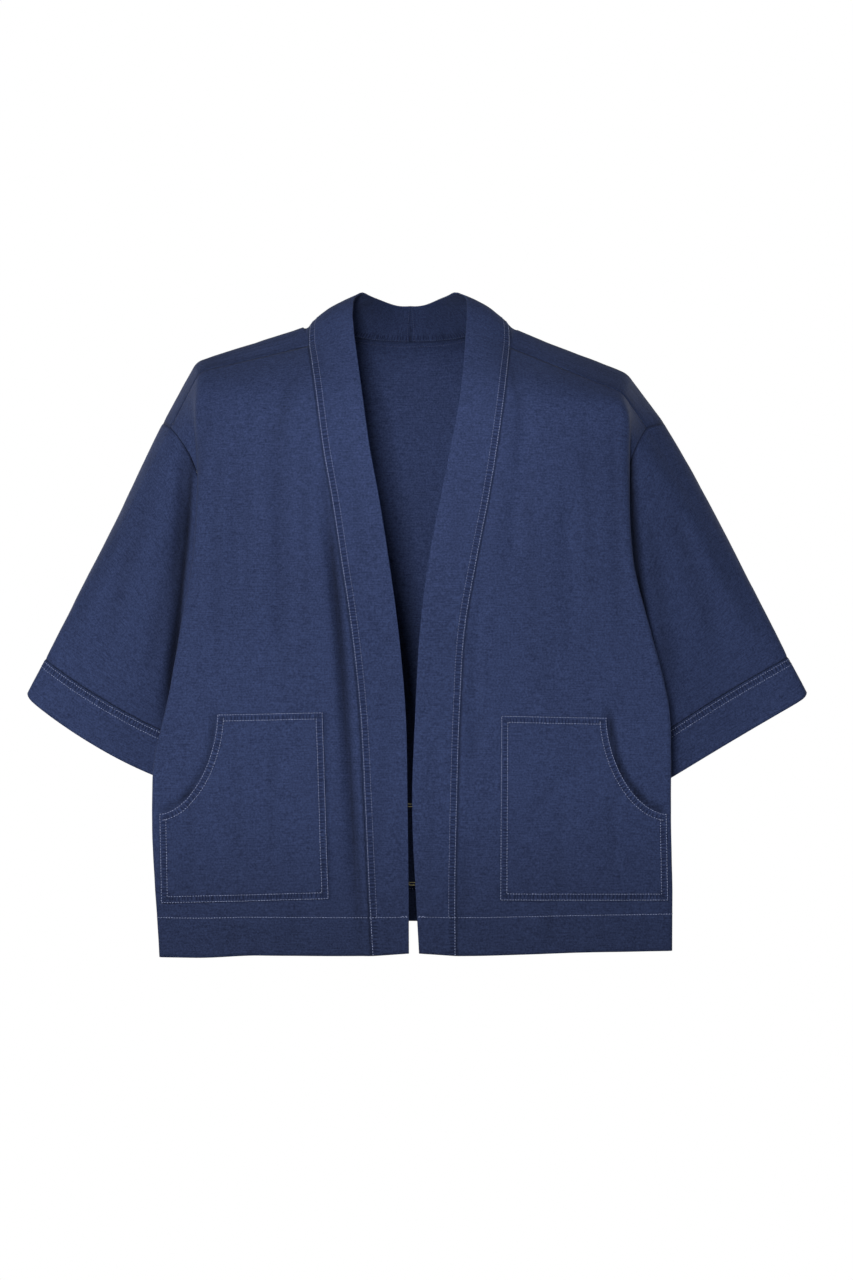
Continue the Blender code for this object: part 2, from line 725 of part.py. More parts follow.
def front_normal(side, place, rise):
    along = front_point(side, place + NORMAL_STEP, rise) - front_point(side, place - NORMAL_STEP, rise)
    up = front_point(side, place, rise + NORMAL_STEP) - front_point(side, place, rise - NORMAL_STEP)
    normal = along.cross(up).normalized()
    return normal if normal.y < 0.0 else -normal


def make_pocket(side):
    """Patch pocket: a straight base and inner edge, and a scooped hand opening."""
    rows = []
    for row in range(POCKET_LOWER_ROWS):
        share = row / POCKET_LOWER_ROWS
        outer_x = blend(POCKET_BASE_OUTER[side][0], POCKET_SIDE_X[side], share)
        rows.append((share * POCKET_SIDE_SHARE, outer_x))
    for row in range(POCKET_CURVE_ROWS + 1):
        angle = 0.5 * math.pi * row / POCKET_CURVE_ROWS
        drawn_in = math.sin(angle) ** (2.0 / POCKET_ROUNDNESS)
        risen = 1.0 - max(math.cos(angle), 0.0) ** (2.0 / POCKET_ROUNDNESS)
        outer_x = blend(POCKET_SIDE_X[side], POCKET_TOP_OUTER[side][0], drawn_in)
        rows.append((blend(POCKET_SIDE_SHARE, 1.0, risen), outer_x))

    def point_at(column, row):
        share = column / POCKET_COLUMNS
        if side == LEFT:
            share = 1.0 - share
        up, outer_x = rows[row]
        inner_x = blend(POCKET_BASE_INNER[side][0], POCKET_TOP_INNER[side][0], up)
        inner_z = blend(POCKET_BASE_INNER[side][1], POCKET_TOP_INNER[side][1], up)
        outer_z = blend(POCKET_BASE_OUTER[side][1], POCKET_TOP_OUTER[side][1], up)
        rise = find_rise(side, blend(inner_z, outer_z, share))
        place = find_place(side, rise, blend(inner_x, outer_x, share))
        lift = SEAM_GAP + CLOTH
        return front_point(side, place, rise) + front_normal(side, place, rise) * lift

    bm = sheet_grid(POCKET_COLUMNS, len(rows) - 1, point_at)
    piece = finish_object(bm, "pocket_" + SIDE_NAMES[side])
    thicken(piece, CLOTH)
    return piece


def wire(name, points):
    """Round wire through its points."""
    curve = bpy.data.curves.new(name, "CURVE")
    curve.dimensions = "3D"
    curve.bevel_depth = WIRE_RADIUS
    curve.bevel_resolution = 1
    curve.use_fill_caps = True
    run = curve.splines.new("POLY")
    run.points.add(len(points) - 1)
    for target, point in zip(run.points, points):
        target.co = (point.x, point.y, point.z, 1.0)
    curve.materials.append(material(name + "_finish", GUNMETAL, 0.35, 1.0))
    piece = bpy.data.objects.new(name, curve)
    bpy.context.scene.collection.objects.link(piece)
    return piece


def turn_points(centre, radius, start, finish, plane):
    """Points round part of a circle; plane gives the directions of its cosine and sine."""
    points = []
    for step in range(WIRE_TURN_STEPS + 1):
        angle = math.radians(blend(start, finish, step / WIRE_TURN_STEPS))
        points.append(centre + plane[0] * radius * math.cos(angle) + plane[1] * radius * math.sin(angle))
    return points


def make_hook_and_eye(name, height):
    """Wire eye behind the right edge, caught by a wire hook behind the left edge."""
    across_way = Vector((1.0, 0.0, 0.0))
    back_way = Vector((0.0, 1.0, 0.0))
    up_way = Vector((0.0, 0.0, 1.0))
    edge = line_point(BAND_EDGE, RIGHT, find_rise(RIGHT, height))
    face_y = edge.y + BAND_WALL + SEAM_GAP + WIRE_RADIUS
    root = Vector((edge.x + EYE_ROOT, face_y, height))

    # The eye's legs lean back from the band, so that the hook's shank passes before them
    lean = (across_way * -EYE_REACH + back_way * HOOK_BEND_RADIUS).normalized()
    ring_centre = root + up_way * (EYE_HALF_SPREAD + EYE_RING_RADIUS)
    half = turn_points(ring_centre, EYE_RING_RADIUS, 150.0, -90.0, (across_way, up_way))
    tip = root + lean * EYE_REACH
    bend = turn_points(tip, EYE_HALF_SPREAD, 90.0, -90.0, (lean, up_way))
    mirrored = [Vector((point.x, point.y, 2.0 * height - point.z)) for point in reversed(half)]
    wire("eye_" + name, half + bend + mirrored)

    catch = tip + lean * EYE_HALF_SPREAD
    bend_centre = catch + across_way * (HOOK_CLEARANCE * WIRE_RADIUS - HOOK_BEND_RADIUS)
    bend_centre.y = face_y + HOOK_BEND_RADIUS
    hook = turn_points(bend_centre, HOOK_BEND_RADIUS, -90.0, 90.0, (across_way, back_way))
    shank_end = hook[0] - across_way * HOOK_SHANK
    bill_end = hook[-1] - across_way * HOOK_BILL
    wire("hook_" + name, [shank_end] + hook + [bill_end])


def build():
    clear_scene()
    for side in (LEFT, RIGHT):
        make_front(side)
        make_sleeve(side)
        make_cuff(side)
        make_neckband(side)
        make_pocket(side)
    make_back()
    for name, height in HOOK_HEIGHTS.items():
        make_hook_and_eye(name, height)


build()
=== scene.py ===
"""Kimono jacket in indigo cotton: fine cloth, stitching, wire fastenings and a plain studio.

Metres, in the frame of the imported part: X runs to the right and Y away from the camera, Z up.
Left and right are as seen from the front.
"""

import math
from functools import lru_cache

import bmesh
import bpy
from mathutils import Matrix, Vector, noise
from mathutils.bvhtree import BVHTree
from mathutils.kdtree import KDTree


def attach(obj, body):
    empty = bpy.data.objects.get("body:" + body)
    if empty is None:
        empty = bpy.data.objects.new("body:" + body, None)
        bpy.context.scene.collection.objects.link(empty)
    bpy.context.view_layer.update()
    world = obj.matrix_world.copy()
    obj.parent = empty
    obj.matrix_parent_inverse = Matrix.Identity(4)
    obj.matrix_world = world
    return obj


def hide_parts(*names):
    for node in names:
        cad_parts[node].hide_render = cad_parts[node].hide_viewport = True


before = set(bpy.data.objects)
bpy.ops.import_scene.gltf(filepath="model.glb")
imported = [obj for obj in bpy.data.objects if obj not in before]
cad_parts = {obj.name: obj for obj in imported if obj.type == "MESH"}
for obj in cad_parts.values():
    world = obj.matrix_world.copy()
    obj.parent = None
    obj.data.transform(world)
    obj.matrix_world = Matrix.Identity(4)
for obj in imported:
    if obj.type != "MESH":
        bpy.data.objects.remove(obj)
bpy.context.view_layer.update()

LEFT = -1
RIGHT = 1
SIDE_NAMES = {LEFT: "left", RIGHT: "right"}

# Cloth
CLOTH = 0.0010
DOUBLE_CLOTH = 0.0020
BAND_WALL = 0.0016
POCKET_LIFT = 0.0010
HEM_DEPTH = 0.040

# Every panel line runs from 0 at the hem over UNDERARM to 1 at the shoulder seam
UNDERARM = 0.5
PANEL_SIDE_HEIGHT = 0.356
HEM_TOP = UNDERARM * HEM_DEPTH / PANEL_SIDE_HEIGHT
HEM_STEP = 0.0008

# Across a panel: the flat part, the rounded side fold, then the flank to the edge
TURN_START = 0.70
TURN_END = 0.86
FRONT_WIDTH = 0.240
FRONT_CROWN = 0.004
FLANK_HOLLOW = 0.005
CROWN_FADE_RISE = 0.78
# Folds keep clear of the seams by these places across a panel
FOLD_FROM_SEAM = 0.05
FOLD_FROM_TURN = 0.10
BACK_FOLD_END = (0.80, 0.62)

# The back panel's middle, below the neck
CENTRE_BACK_X = -0.004
NECK_SHARE = 0.24
NECK_ARCH = 0.012
NECK_SPREAD = 0.016

# Shoulder seam: where it meets the neckband, turns at the shoulder and meets the armhole
# columns: left x, right x, y, z
SHOULDER_NECK = (-0.1195, 0.1102, -0.048, -0.026)
SHOULDER_CORNER = (-0.2420, 0.2350, -0.055, -0.056)
SHOULDER_EDGE = (-0.2760, 0.2650, -0.046, -0.119)
SHOULDER_RADIUS = 0.009
SEAM_FORWARD = {LEFT: 0.0, RIGHT: 0.026}
SEAM_FORWARD_WAY = Vector((0.0, -0.70, -1.0))
SHOULDER_DROP = {LEFT: 0.0, RIGHT: 0.012}
# Rises between which the forward seam and the dropped shoulder come in
FRONT_SHIFT_RISE = 0.80
BACK_SHIFT_RISE = 0.955
DROP_RISES = (0.70, 0.92)
NECK_SHIFT = 0.08
NECK_DROP = 0.3
HEM_SETTLE = {LEFT: -0.0035, RIGHT: 0.0035}
HEM_SETTLE_RISE = 0.12
HEM_SETTLE_PLACES = {LEFT: (0.38, 0.60), RIGHT: (0.0, 0.5)}

# Line of the neckband seam on the front
# columns: rise, left x, right x, y, z
SEAM_LINE = (
    (0.000, -0.0459, 0.0484, -0.1250, -0.7078),
    (0.077, -0.0492, 0.0479, -0.1250, -0.6500),
    (0.232, -0.0542, 0.0497, -0.1250, -0.5400),
    (0.372, -0.0594, 0.0528, -0.1250, -0.4400),
    (0.500, -0.0689, 0.0583, -0.1250, -0.3490),
    (0.620, -0.0806, 0.0717, -0.1245, -0.2700),
    (0.730, -0.0913, 0.0853, -0.1230, -0.2000),
    (0.810, -0.1002, 0.0936, -0.1200, -0.1500),
    (0.915, -0.1104, 0.1038, -0.1020, -0.0766),
    (1.000,) + SHOULDER_NECK,
)

# Corner of the soft fold down each side of the front
# columns: rise, left x, right x, y, z, radius
FOLD_LINE = (
    (0.000, -0.2850, 0.2908, -0.108, -0.708, 0.010),
    (0.077, -0.2887, 0.2911, -0.108, -0.650, 0.010),
    (0.232, -0.2926, 0.2900, -0.109, -0.540, 0.010),
    (0.300, -0.2905, 0.2898, -0.109, -0.492, 0.010),
    (0.372, -0.2790, 0.2885, -0.109, -0.440, 0.011),
    (0.500, -0.2612, 0.2674, -0.109, -0.349, 0.012),
    (0.620, -0.2482, 0.2477, -0.108, -0.270, 0.013),
    (0.730, -0.2424, 0.2428, -0.105, -0.200, 0.014),
    (0.810, -0.2399, 0.2422, -0.098, -0.150, 0.016),
    (0.915, -0.2405, 0.2375, -0.085, -0.086, 0.013),
    (1.000,) + SHOULDER_CORNER + (SHOULDER_RADIUS,),
)

# Side seam, shared by front and back, then the armhole seam of each
# columns: rise, left x, right x, y, z
SIDE_LINE = (
    (0.000, -0.2340, 0.2340, 0.000, -0.705),
    (0.250, -0.2270, 0.2270, 0.000, -0.527),
    (0.400, -0.2210, 0.2210, 0.000, -0.420),
    (0.500, -0.2240, 0.2240, 0.000, -0.349),
)
FRONT_ARMHOLE = (
    (0.500, -0.2240, 0.2240, 0.000, -0.349),
    (0.560, -0.2300, 0.2300, -0.036, -0.329),
    (0.640, -0.2340, 0.2340, -0.055, -0.270),
    (0.740, -0.2380, 0.2380, -0.063, -0.200),
    (0.840, -0.2490, 0.2450, -0.066, -0.158),
    (0.920, -0.2610, 0.2540, -0.064, -0.137),
    (1.000,) + SHOULDER_EDGE,
)
BACK_ARMHOLE = (
    (0.500, -0.2240, 0.2240, 0.000, -0.349),
    (0.560, -0.2300, 0.2300, 0.037, -0.329),
    (0.640, -0.2350, 0.2350, 0.056, -0.262),
    (0.740, -0.2450, 0.2450, 0.060, -0.194),
    (0.840, -0.2640, 0.2640, 0.046, -0.148),
    (0.920, -0.2830, 0.2825, 0.018, -0.119),
    (0.965, -0.2880, 0.2875, -0.018, -0.111),
    (1.000,) + SHOULDER_EDGE,
)

# Back: the centre line, the line below the neck point and the rounded corner
# columns: rise, y, z
CENTRE_LINE = (
    (0.000, 0.125, -0.7010),
    (0.250, 0.119, -0.5250),
    (0.500, 0.116, -0.3490),
    (0.620, 0.116, -0.2550),
    (0.740, 0.117, -0.1650),
    (0.840, 0.114, -0.0850),
    (0.920, 0.106, -0.0300),
    (1.000, 0.090, -0.0020),
)
# columns: rise, left x, right x, y, z
NECK_LINE = (
    (0.000, -0.116, 0.108, 0.114, -0.7020),
    (0.250, -0.116, 0.108, 0.109, -0.5250),
    (0.500, -0.116, 0.108, 0.107, -0.3490),
    (0.620, -0.118, 0.110, 0.107, -0.2550),
    (0.740, -0.120, 0.112, 0.104, -0.1650),
    (0.840, -0.126, 0.117, 0.086, -0.0850),
    (0.920, -0.131, 0.121, 0.038, -0.0180),
    (0.965, -0.1275, 0.1195, -0.008, 0.0005),
    (1.000,) + SHOULDER_NECK,
)
# columns: rise, left x, right x, y, z, radius
CORNER_LINE = (
    (0.000, -0.212, 0.212, 0.094, -0.704, 0.080),
    (0.250, -0.204, 0.204, 0.088, -0.525, 0.075),
    (0.500, -0.200, 0.200, 0.088, -0.349, 0.060),
    (0.620, -0.210, 0.210, 0.097, -0.262, 0.036),
    (0.740, -0.223, 0.223, 0.098, -0.188, 0.028),
    (0.840, -0.239, 0.239, 0.076, -0.122, 0.022),
    (0.920, -0.248, 0.246, 0.034, -0.062, 0.012),
    (0.965, -0.250, 0.246, -0.010, -0.039, 0.008),
    (1.000,) + SHOULDER_CORNER + (SHOULDER_RADIUS,),
)
# How far a row's middle follows the round neck instead of the flat back
# columns: rise, share
NECK_BOW = (
    (0.00, 0.0),
    (0.74, 0.0),
    (0.84, 0.12),
    (0.92, 0.45),
    (0.965, 0.75),
    (1.00, 1.0),
)

# Free edge of the neckband: up to 1 along the front, then to 2 at the centre back
# columns: reach, left x, right x, y, z
BAND_EDGE = (
    (0.000, -0.0044, 0.0066, -0.1250, -0.7050),
    (0.077, -0.0047, 0.0036, -0.1250, -0.6500),
    (0.232, -0.0060, -0.0009, -0.1250, -0.5400),
    (0.372, -0.0081, 0.0025, -0.1250, -0.4400),
    (0.500, -0.0161, 0.0077, -0.1250, -0.3490),
    (0.620, -0.0268, 0.0175, -0.1248, -0.2700),
    (0.730, -0.0380, 0.0308, -0.1235, -0.2000),
    (0.810, -0.0473, 0.0407, -0.1200, -0.1500),
    (0.915, -0.0572, 0.0531, -0.1040, -0.0805),
    (1.000, -0.0680, 0.0600, -0.0600, -0.0060),
    (1.110, -0.0690, 0.0610, -0.0390, 0.0210),
    (1.200, -0.0680, 0.0600, -0.0200, 0.0340),
    (1.286, -0.0605, 0.0485, -0.0060, 0.0418),
    (1.380, -0.0510, 0.0395, 0.0120, 0.0405),
    (1.500, -0.0419, 0.0306, 0.0280, 0.0390),
    (1.750, -0.0210, 0.0119, 0.0510, 0.0350),
    (2.000, CENTRE_BACK_X, CENTRE_BACK_X, 0.0570, 0.0350),
)
# How far the neckband's middle stands out from the straight line between its edges
# columns: reach, height
BAND_CROWN = (
    (0.00, 0.0),
    (0.70, 0.0),
    (0.85, 0.0),
    (1.00, 0.0015),
    (1.15, 0.0036),
    (1.40, 0.0020),
    (2.00, 0.0005),
)

# Cuffs: the ends of the sleeve's flattened tube, seen from the front
# columns: x, z
CUFF_OUTER_END = {LEFT: (-0.4452, -0.4243), RIGHT: (0.4531, -0.4240)}
CUFF_INNER_END = {LEFT: (-0.2740, -0.5240), RIGHT: (0.2800, -0.5270)}
CUFF_OUTER_SEAM = {LEFT: (-0.4228, -0.3819), RIGHT: (0.4296, -0.3796)}
CUFF_INNER_SEAM = {LEFT: (-0.2640, -0.4740), RIGHT: (0.2700, -0.4775)}
# How far the cuff's seam and its lower edge hang below the straight line between their ends
CUFF_SEAM_BOW = {LEFT: 0.006, RIGHT: -0.004}
CUFF_END_BOW = {LEFT: 0.009, RIGHT: -0.002}
# Share of its depth by which the cuff's outer corner is rounded off, and the reach of that
CUFF_CORNER = 0.09
CUFF_CORNER_REACH = 0.28
SLEEVE_Y = -0.015
CUFF_HALF_THICKNESS = 0.021
CUFF_SQUARENESS = 0.62
SLEEVE_FULLNESS = 0.010
SLEEVE_UNDER_BULGE = 0.012
# Fullness of the sleeve's top line, seen from the front
SLEEVE_TOP_BOW = {LEFT: -0.001, RIGHT: 0.0034}
SLEEVE_TOP_WAY = (0.885, 0.466)
CUFF_PROUD = 0.0004

# Corners of the pockets as sewn on; the hand opening curves from its side to its top corner
# columns: x, z
POCKET_BASE_INNER = {LEFT: (-0.0925, -0.6450), RIGHT: (0.0957, -0.6465)}
POCKET_BASE_OUTER = {LEFT: (-0.2786, -0.6515), RIGHT: (0.2822, -0.6485)}
POCKET_TOP_INNER = {LEFT: (-0.0991, -0.4392), RIGHT: (0.0968, -0.4430)}
POCKET_TOP_OUTER = {LEFT: (-0.2160, -0.4420), RIGHT: (0.2133, -0.4455)}
POCKET_SIDE_X = {LEFT: -0.2805, RIGHT: 0.2806}
POCKET_SIDE_SHARE = 0.475
POCKET_ROUNDNESS = 1.8
POCKET_STRAIGHT = 0.30

# Largest folds of the hanging cloth, as soft troughs (plus) and ridges (minus) in Y
# columns: side, lower rise, upper rise, place across below, place across above, depth, width
FRONT_FOLDS = (
    (LEFT, 0.05, 0.74, 0.048, 0.055, 0.0035, 0.020),
    (LEFT, 0.42, 0.90, 0.300, 0.270, 0.0040, 0.060),
    (LEFT, 0.42, 0.86, 0.540, 0.500, 0.0035, 0.060),
    (RIGHT, 0.22, 0.62, 0.045, 0.045, 0.0025, 0.022),
    (RIGHT, 0.55, 0.95, 0.160, 0.130, 0.0035, 0.050),
    (RIGHT, 0.42, 0.80, 0.440, 0.420, 0.0035, 0.060),
)
# columns: lower rise, upper rise, place across below, place across above, depth, width
BACK_FOLDS = (
    (0.02, 0.78, -0.44, -0.40, 0.0045, 0.120),
    (0.02, 0.70, -0.08, -0.05, 0.0025, 0.060),
    (0.02, 0.74, 0.16, 0.12, 0.0030, 0.060),
    (0.02, 0.80, 0.48, 0.44, 0.0045, 0.120),
)
FOLD_FADE = 0.12

# Creases placed one by one, seen from the front. A crease's middle bows to the left of its run
# down by the bow; depth is a trough where plus and a ridge where minus
# columns: x and z of its start, x and z of its end, bow, depth, width
# Each crease's trough also gets painted shade in the cloth's colour
FRONT_CREASES = {
    LEFT: (
        (-0.0980, -0.210, -0.0700, -0.440, -0.004, 0.0012, 0.0060),
        (-0.0993, -0.150, -0.0561, -0.720, -0.003, 0.0050, 0.0045),
        (-0.2123, -0.080, -0.2150, -0.430, 0.003, 0.0008, 0.0055),
        (-0.1958, -0.110, -0.2010, -0.437, -0.002, 0.0007, 0.0050),
        (-0.1826, -0.130, -0.1800, -0.420, 0.002, 0.0007, 0.0050),
        (-0.1441, -0.080, -0.1380, -0.437, 0.003, 0.0010, 0.0080),
        (-0.1166, -0.090, -0.1190, -0.430, 0.001, 0.0008, 0.0060),
        (-0.1243, -0.045, -0.1520, -0.160, 0.004, 0.0012, 0.0090),
        (-0.2431, -0.500, -0.2440, -0.640, 0.002, 0.0008, 0.0060),
        (-0.1958, -0.450, -0.1930, -0.630, -0.003, 0.0007, 0.0060),
        (-0.1518, -0.455, -0.1560, -0.640, 0.002, 0.0008, 0.0060),
        (-0.2000, -0.655, -0.1960, -0.705, 0.000, 0.0010, 0.0060),
        (-0.1300, -0.650, -0.1330, -0.705, 0.000, 0.0008, 0.0060),
        (-0.2200, -0.070, -0.2350, -0.200, 0.003, 0.0010, 0.0080),
    ),
    RIGHT: (
        (0.1089, -0.035, 0.1232, -0.1125, 0.002, 0.0011, 0.0060),
        (0.1507, -0.041, 0.1850, -0.0600, 0.000, 0.0009, 0.0080),
        (0.0594, -0.345, 0.0655, -0.3850, 0.001, 0.0011, 0.0035),
        (0.0745, -0.435, 0.0640, -0.5150, 0.001, 0.0011, 0.0045),
        (0.1507, -0.350, 0.1485, -0.4300, 0.002, 0.0007, 0.0070),
        (0.1750, -0.500, 0.1200, -0.5680, 0.004, 0.0010, 0.0065),
        (0.1639, -0.530, 0.1620, -0.6450, 0.002, 0.0008, 0.0060),
        (0.2167, -0.520, 0.2200, -0.6400, -0.002, 0.0008, 0.0060),
        (0.1300, -0.110, 0.1350, -0.4200, 0.003, 0.0008, 0.0070),
        (0.1900, -0.100, 0.1960, -0.4100, -0.003, 0.0008, 0.0075),
        (0.2230, -0.100, 0.2300, -0.3800, 0.002, 0.0009, 0.0060),
        (0.0600, -0.560, 0.0560, -0.7000, 0.001, 0.0012, 0.0050),
        (0.1500, -0.652, 0.1520, -0.7050, 0.000, 0.0009, 0.0060),
    ),
}
# Hollow of the front behind each pocket's hand opening, which also gets painted shade, with the columns
# above, as below
OPENING_CREASES = {
    LEFT: (
        (-0.2185, -0.430, -0.2290, -0.508, -0.002, 0.0034, 0.0030),
        (-0.2250, -0.490, -0.2600, -0.541, -0.003, 0.0034, 0.0030),
        (-0.2400, -0.526, -0.2850, -0.553, -0.002, 0.0030, 0.0030),
    ),
    RIGHT: (
        (0.2155, -0.432, 0.2300, -0.510, 0.002, 0.0060, 0.0040),
        (0.2225, -0.490, 0.2580, -0.540, 0.003, 0.0060, 0.0040),
        (0.2400, -0.527, 0.2850, -0.553, 0.002, 0.0046, 0.0036),
    ),
}
BAND_CREASES = (
    (-0.0150, -0.352, -0.0560, -0.376, 0.000, 0.0006, 0.0040),
    (-0.0200, -0.420, -0.0450, -0.660, 0.003, 0.0006, 0.0070),
    (0.0150, -0.362, 0.0520, -0.352, 0.000, 0.0008, 0.0040),
    (0.0200, -0.330, 0.0480, -0.380, 0.003, 0.0007, 0.0050),
    (0.0250, -0.430, 0.0220, -0.640, 0.003, 0.0006, 0.0070),
    (-0.0700, -0.130, -0.0520, -0.290, 0.002, 0.0005, 0.0070),
    (0.0680, -0.120, 0.0450, -0.290, 0.002, 0.0005, 0.0070),
)
SLEEVE_CREASES = (
    (-0.2850, -0.170, -0.3500, -0.380, 0.006, 0.0016, 0.0110),
    (-0.2600, -0.190, -0.3050, -0.420, -0.005, 0.0018, 0.0100),
    (-0.3250, -0.210, -0.3950, -0.370, 0.003, 0.0012, 0.0100),
    (-0.2550, -0.330, -0.2900, -0.470, 0.004, 0.0014, 0.0090),
    (-0.3700, -0.430, -0.3540, -0.475, 0.000, 0.0008, 0.0060),
    (-0.2523, -0.080, -0.2862, -0.500, -0.004, 0.0038, 0.0075),
    (-0.2455, -0.090, -0.2880, -0.480, -0.007, 0.0050, 0.0032),
    (0.2800, -0.190, 0.3480, -0.390, -0.005, 0.0016, 0.0110),
    (0.2640, -0.210, 0.3000, -0.430, 0.004, 0.0018, 0.0100),
    (0.3230, -0.230, 0.3980, -0.370, -0.003, 0.0011, 0.0100),
    (0.2740, -0.340, 0.2960, -0.460, -0.003, 0.0014, 0.0090),
    (0.2450, -0.060, 0.2925, -0.490, 0.0155, 0.0070, 0.0048),
)
BACK_CREASES = (
    (-0.1750, -0.140, -0.1600, -0.480, 0.004, 0.0014, 0.0110),
    (-0.0900, -0.120, -0.0700, -0.420, -0.003, 0.0009, 0.0090),
    (0.0500, -0.150, 0.0650, -0.560, 0.004, 0.0010, 0.0100),
    (0.1650, -0.130, 0.1550, -0.500, -0.004, 0.0014, 0.0110),
    (-0.2100, -0.130, -0.1500, -0.230, 0.006, 0.0016, 0.0120),
    (0.2080, -0.130, 0.1450, -0.220, -0.006, 0.0016, 0.0120),
    (-0.1300, -0.480, -0.1350, -0.690, 0.002, 0.0012, 0.0100),
    (0.0200, -0.500, 0.0150, -0.690, 0.002, 0.0010, 0.0090),
    (0.1200, -0.520, 0.1280, -0.690, -0.002, 0.0012, 0.0100),
)

# Grid of the panels: even cells up the hem, the side and the armhole, then across
HEM_CELLS = 9
SIDE_CELLS = 76
ARM_CELLS = 74
FLAT_CELLS = 52
TURN_CELLS = 12
FLANK_CELLS = 20
NECK_CELLS = 30
# Grid lines that lie close together beside a seam
SHOULDER_LINES = (0.985, 0.991, 0.996, 1.0)
SEAM_LINES = (0.0, 0.003, 0.008, 0.014)
EDGE_LINES = (0.985, 0.993, 0.998, 1.0)
# columns: lines beside the start, even cells between, lines beside the end
SLEEVE_GRID = ((0.0, 0.004, 0.010, 0.018), 56, (0.982, 0.990, 0.996, 1.0))
CUFF_GRID = ((0.0, 0.02, 0.05, 0.09), 11, (1.0,))
BAND_GRID = ((0.0, 0.012, 0.03, 0.06, 0.10), 15, (0.97, 0.99, 1.0))
POCKET_GRID_ACROSS = ((0.0, 0.006, 0.015, 0.03), 38, (0.97, 0.985, 0.994, 1.0))
POCKET_GRID_UP = ((0.0, 0.004, 0.01, 0.02), 44, (0.985, 0.993, 1.0))
MERGE_REACH = 0.00002

# How the creases fade, by shares of their run, by places across and by rises
CREASE_OVERRUN = 0.05
CREASE_FADE = 0.30
CREASE_WIDTHS = 3.0
FRONT_CREASE_START = 0.012
FRONT_CREASE_END = (TURN_START + 0.06, TURN_START - 0.02)
FRONT_CREASE_TOP = 0.97
BACK_CREASE_END = (0.95, 0.75)
BACK_CREASE_TOP = (0.90, 0.78)
SLEEVE_CREASE_START = 0.12
BAND_CREASE_TOP = 0.9
BAND_CREASE_START = 0.1

# Unevenness of the hanging cloth
# columns: waves per metre across, waves per metre up, height
SOFT_WAVES = (22.0, 9.0, 0.0011)
FINE_WAVES = (75.0, 40.0, 0.00028)
GATHER_WAVES = 90.0
GATHER_HEIGHT = 0.0007
GATHER_REACH = 0.022
GATHER_START = 0.003
SLACK_WAVES = (35.0, 25.0)
SLACK_HEIGHT = 0.0006

# Small steps for a direction along the neckband and over a front
BAND_STEP = 0.01
FRONT_STEP = 0.004
# First guess and rounds of the search for a place on a front
GUESS_PLACE = 0.4
GUESS_RISE = 0.25
SEARCH_ROUNDS = 7

# Sewing
SEAM_SINK = 0.0005
# Painted shade beside sewn edges, as a share of a full trough's painted shade
SEAM_SHADE = 0.55
SEAM_SINK_WIDTH = 0.0014
SEWN_FADE = 0.012
STITCH_PITCH = 0.0030
STITCHES_A_RUN = 24
STITCH_LENGTH = 0.0026
THREAD_WIDTH = 0.00072
FIRST_ROW = 0.0020
ROW_SPACING = 0.0066
THREAD_SIDES = 5
THREAD_RINGS = 4
# Share of a thread's width by which it stands out, and how much it sways
THREAD_OUT = 0.12
THREAD_SWAY = 0.00012
THREAD_SWAYS = 900.0
SEAM_MARKS = 0.0005
# The rows start this far off the hem's ends, the pockets' edges and the cuffs' seams
HEM_ROW_ENDS = 0.004
BACK_ROW_END = 0.998
BAND_ROW_END = 1.999
EDGE_ROW = 0.0008
# Back tacks beside the opening, from and to these shares of the neckband, just above the hem
TACK = (0.80, 0.98)
TACK_RISE = 0.0012
# Row inside the neck: how much of the neck it follows, and its drop below the seam
NECK_ROW_END = 0.93
NECK_ROW_DROP = Vector((0.0, 0.004, -0.006))
NECK_ROW_REACHES = (1.05, 1.99)
NECK_ROW_SHARE = 0.03
CENTRE_ROW_REACH = 1.975
CENTRE_ROW_SHARES = (0.02, 0.98)
BAND_ROW_CELLS = 260
# Only the face of a front that the camera sees is hollowed behind its pocket
OPENING_REACH_Y = -0.07
# Depth at which a trough's painted shade is full
FULL_TROUGH = 0.0070
FAR_FROM_SEAM = 1.0


def blend(start, finish, share):
    return start + (finish - start) * share


def smooth_step(low, high, value):
    share = min(max((value - low) / (high - low), 0.0), 1.0)
    return share * share * (3.0 - 2.0 * share)


@lru_cache(maxsize=None)
def spline(rows, knot):
    """Smooth curve through a table's rows, each of which starts with its knot."""
    last = len(rows) - 1
    index = 0
    while index < last - 1 and knot > rows[index + 1][0]:
        index += 1

    def slope(place, column):
        if place in (0, last):
            beside = 1 if place == 0 else last - 1
            chord = (rows[beside][column] - rows[place][column]) / (rows[beside][0] - rows[place][0])
            return 1.5 * chord - 0.5 * slope(beside, column)
        before, here, after = rows[place - 1], rows[place], rows[place + 1]
        step_in = here[0] - before[0]
        step_out = after[0] - here[0]
        slope_in = (here[column] - before[column]) / step_in
        slope_out = (after[column] - here[column]) / step_out
        return (slope_in * step_out + slope_out * step_in) / (step_in + step_out)

    start, finish = rows[index], rows[index + 1]
    step = finish[0] - start[0]
    share = min(max((knot - start[0]) / step, 0.0), 1.0)
    values = []
    for column in range(1, len(start)):
        rise_in = slope(index, column) * step
        rise_out = slope(index + 1, column) * step
        gap = finish[column] - start[column]
        curve = (rise_in - 2.0 * gap + rise_out) * share
        curve = (curve + 3.0 * gap - 2.0 * rise_in - rise_out) * share
        values.append(start[column] + (curve + rise_in) * share)
    return tuple(values)


def line_point(line, side, rise):
    values = spline(line, rise)
    x = values[0] if side == LEFT else values[1]
    return Vector((x, values[2], values[3]))


def edge_point(side, rise, armhole):
    """Point on the side seam, or above the underarm on the given armhole seam."""
    if rise <= UNDERARM:
        return line_point(SIDE_LINE, side, rise)
    return line_point(armhole, side, rise)


def seam_shift(side, share, reach):
    """How far the shoulder seam lies forward of its usual place."""
    return SEAM_FORWARD_WAY * (SEAM_FORWARD[side] * share * reach)


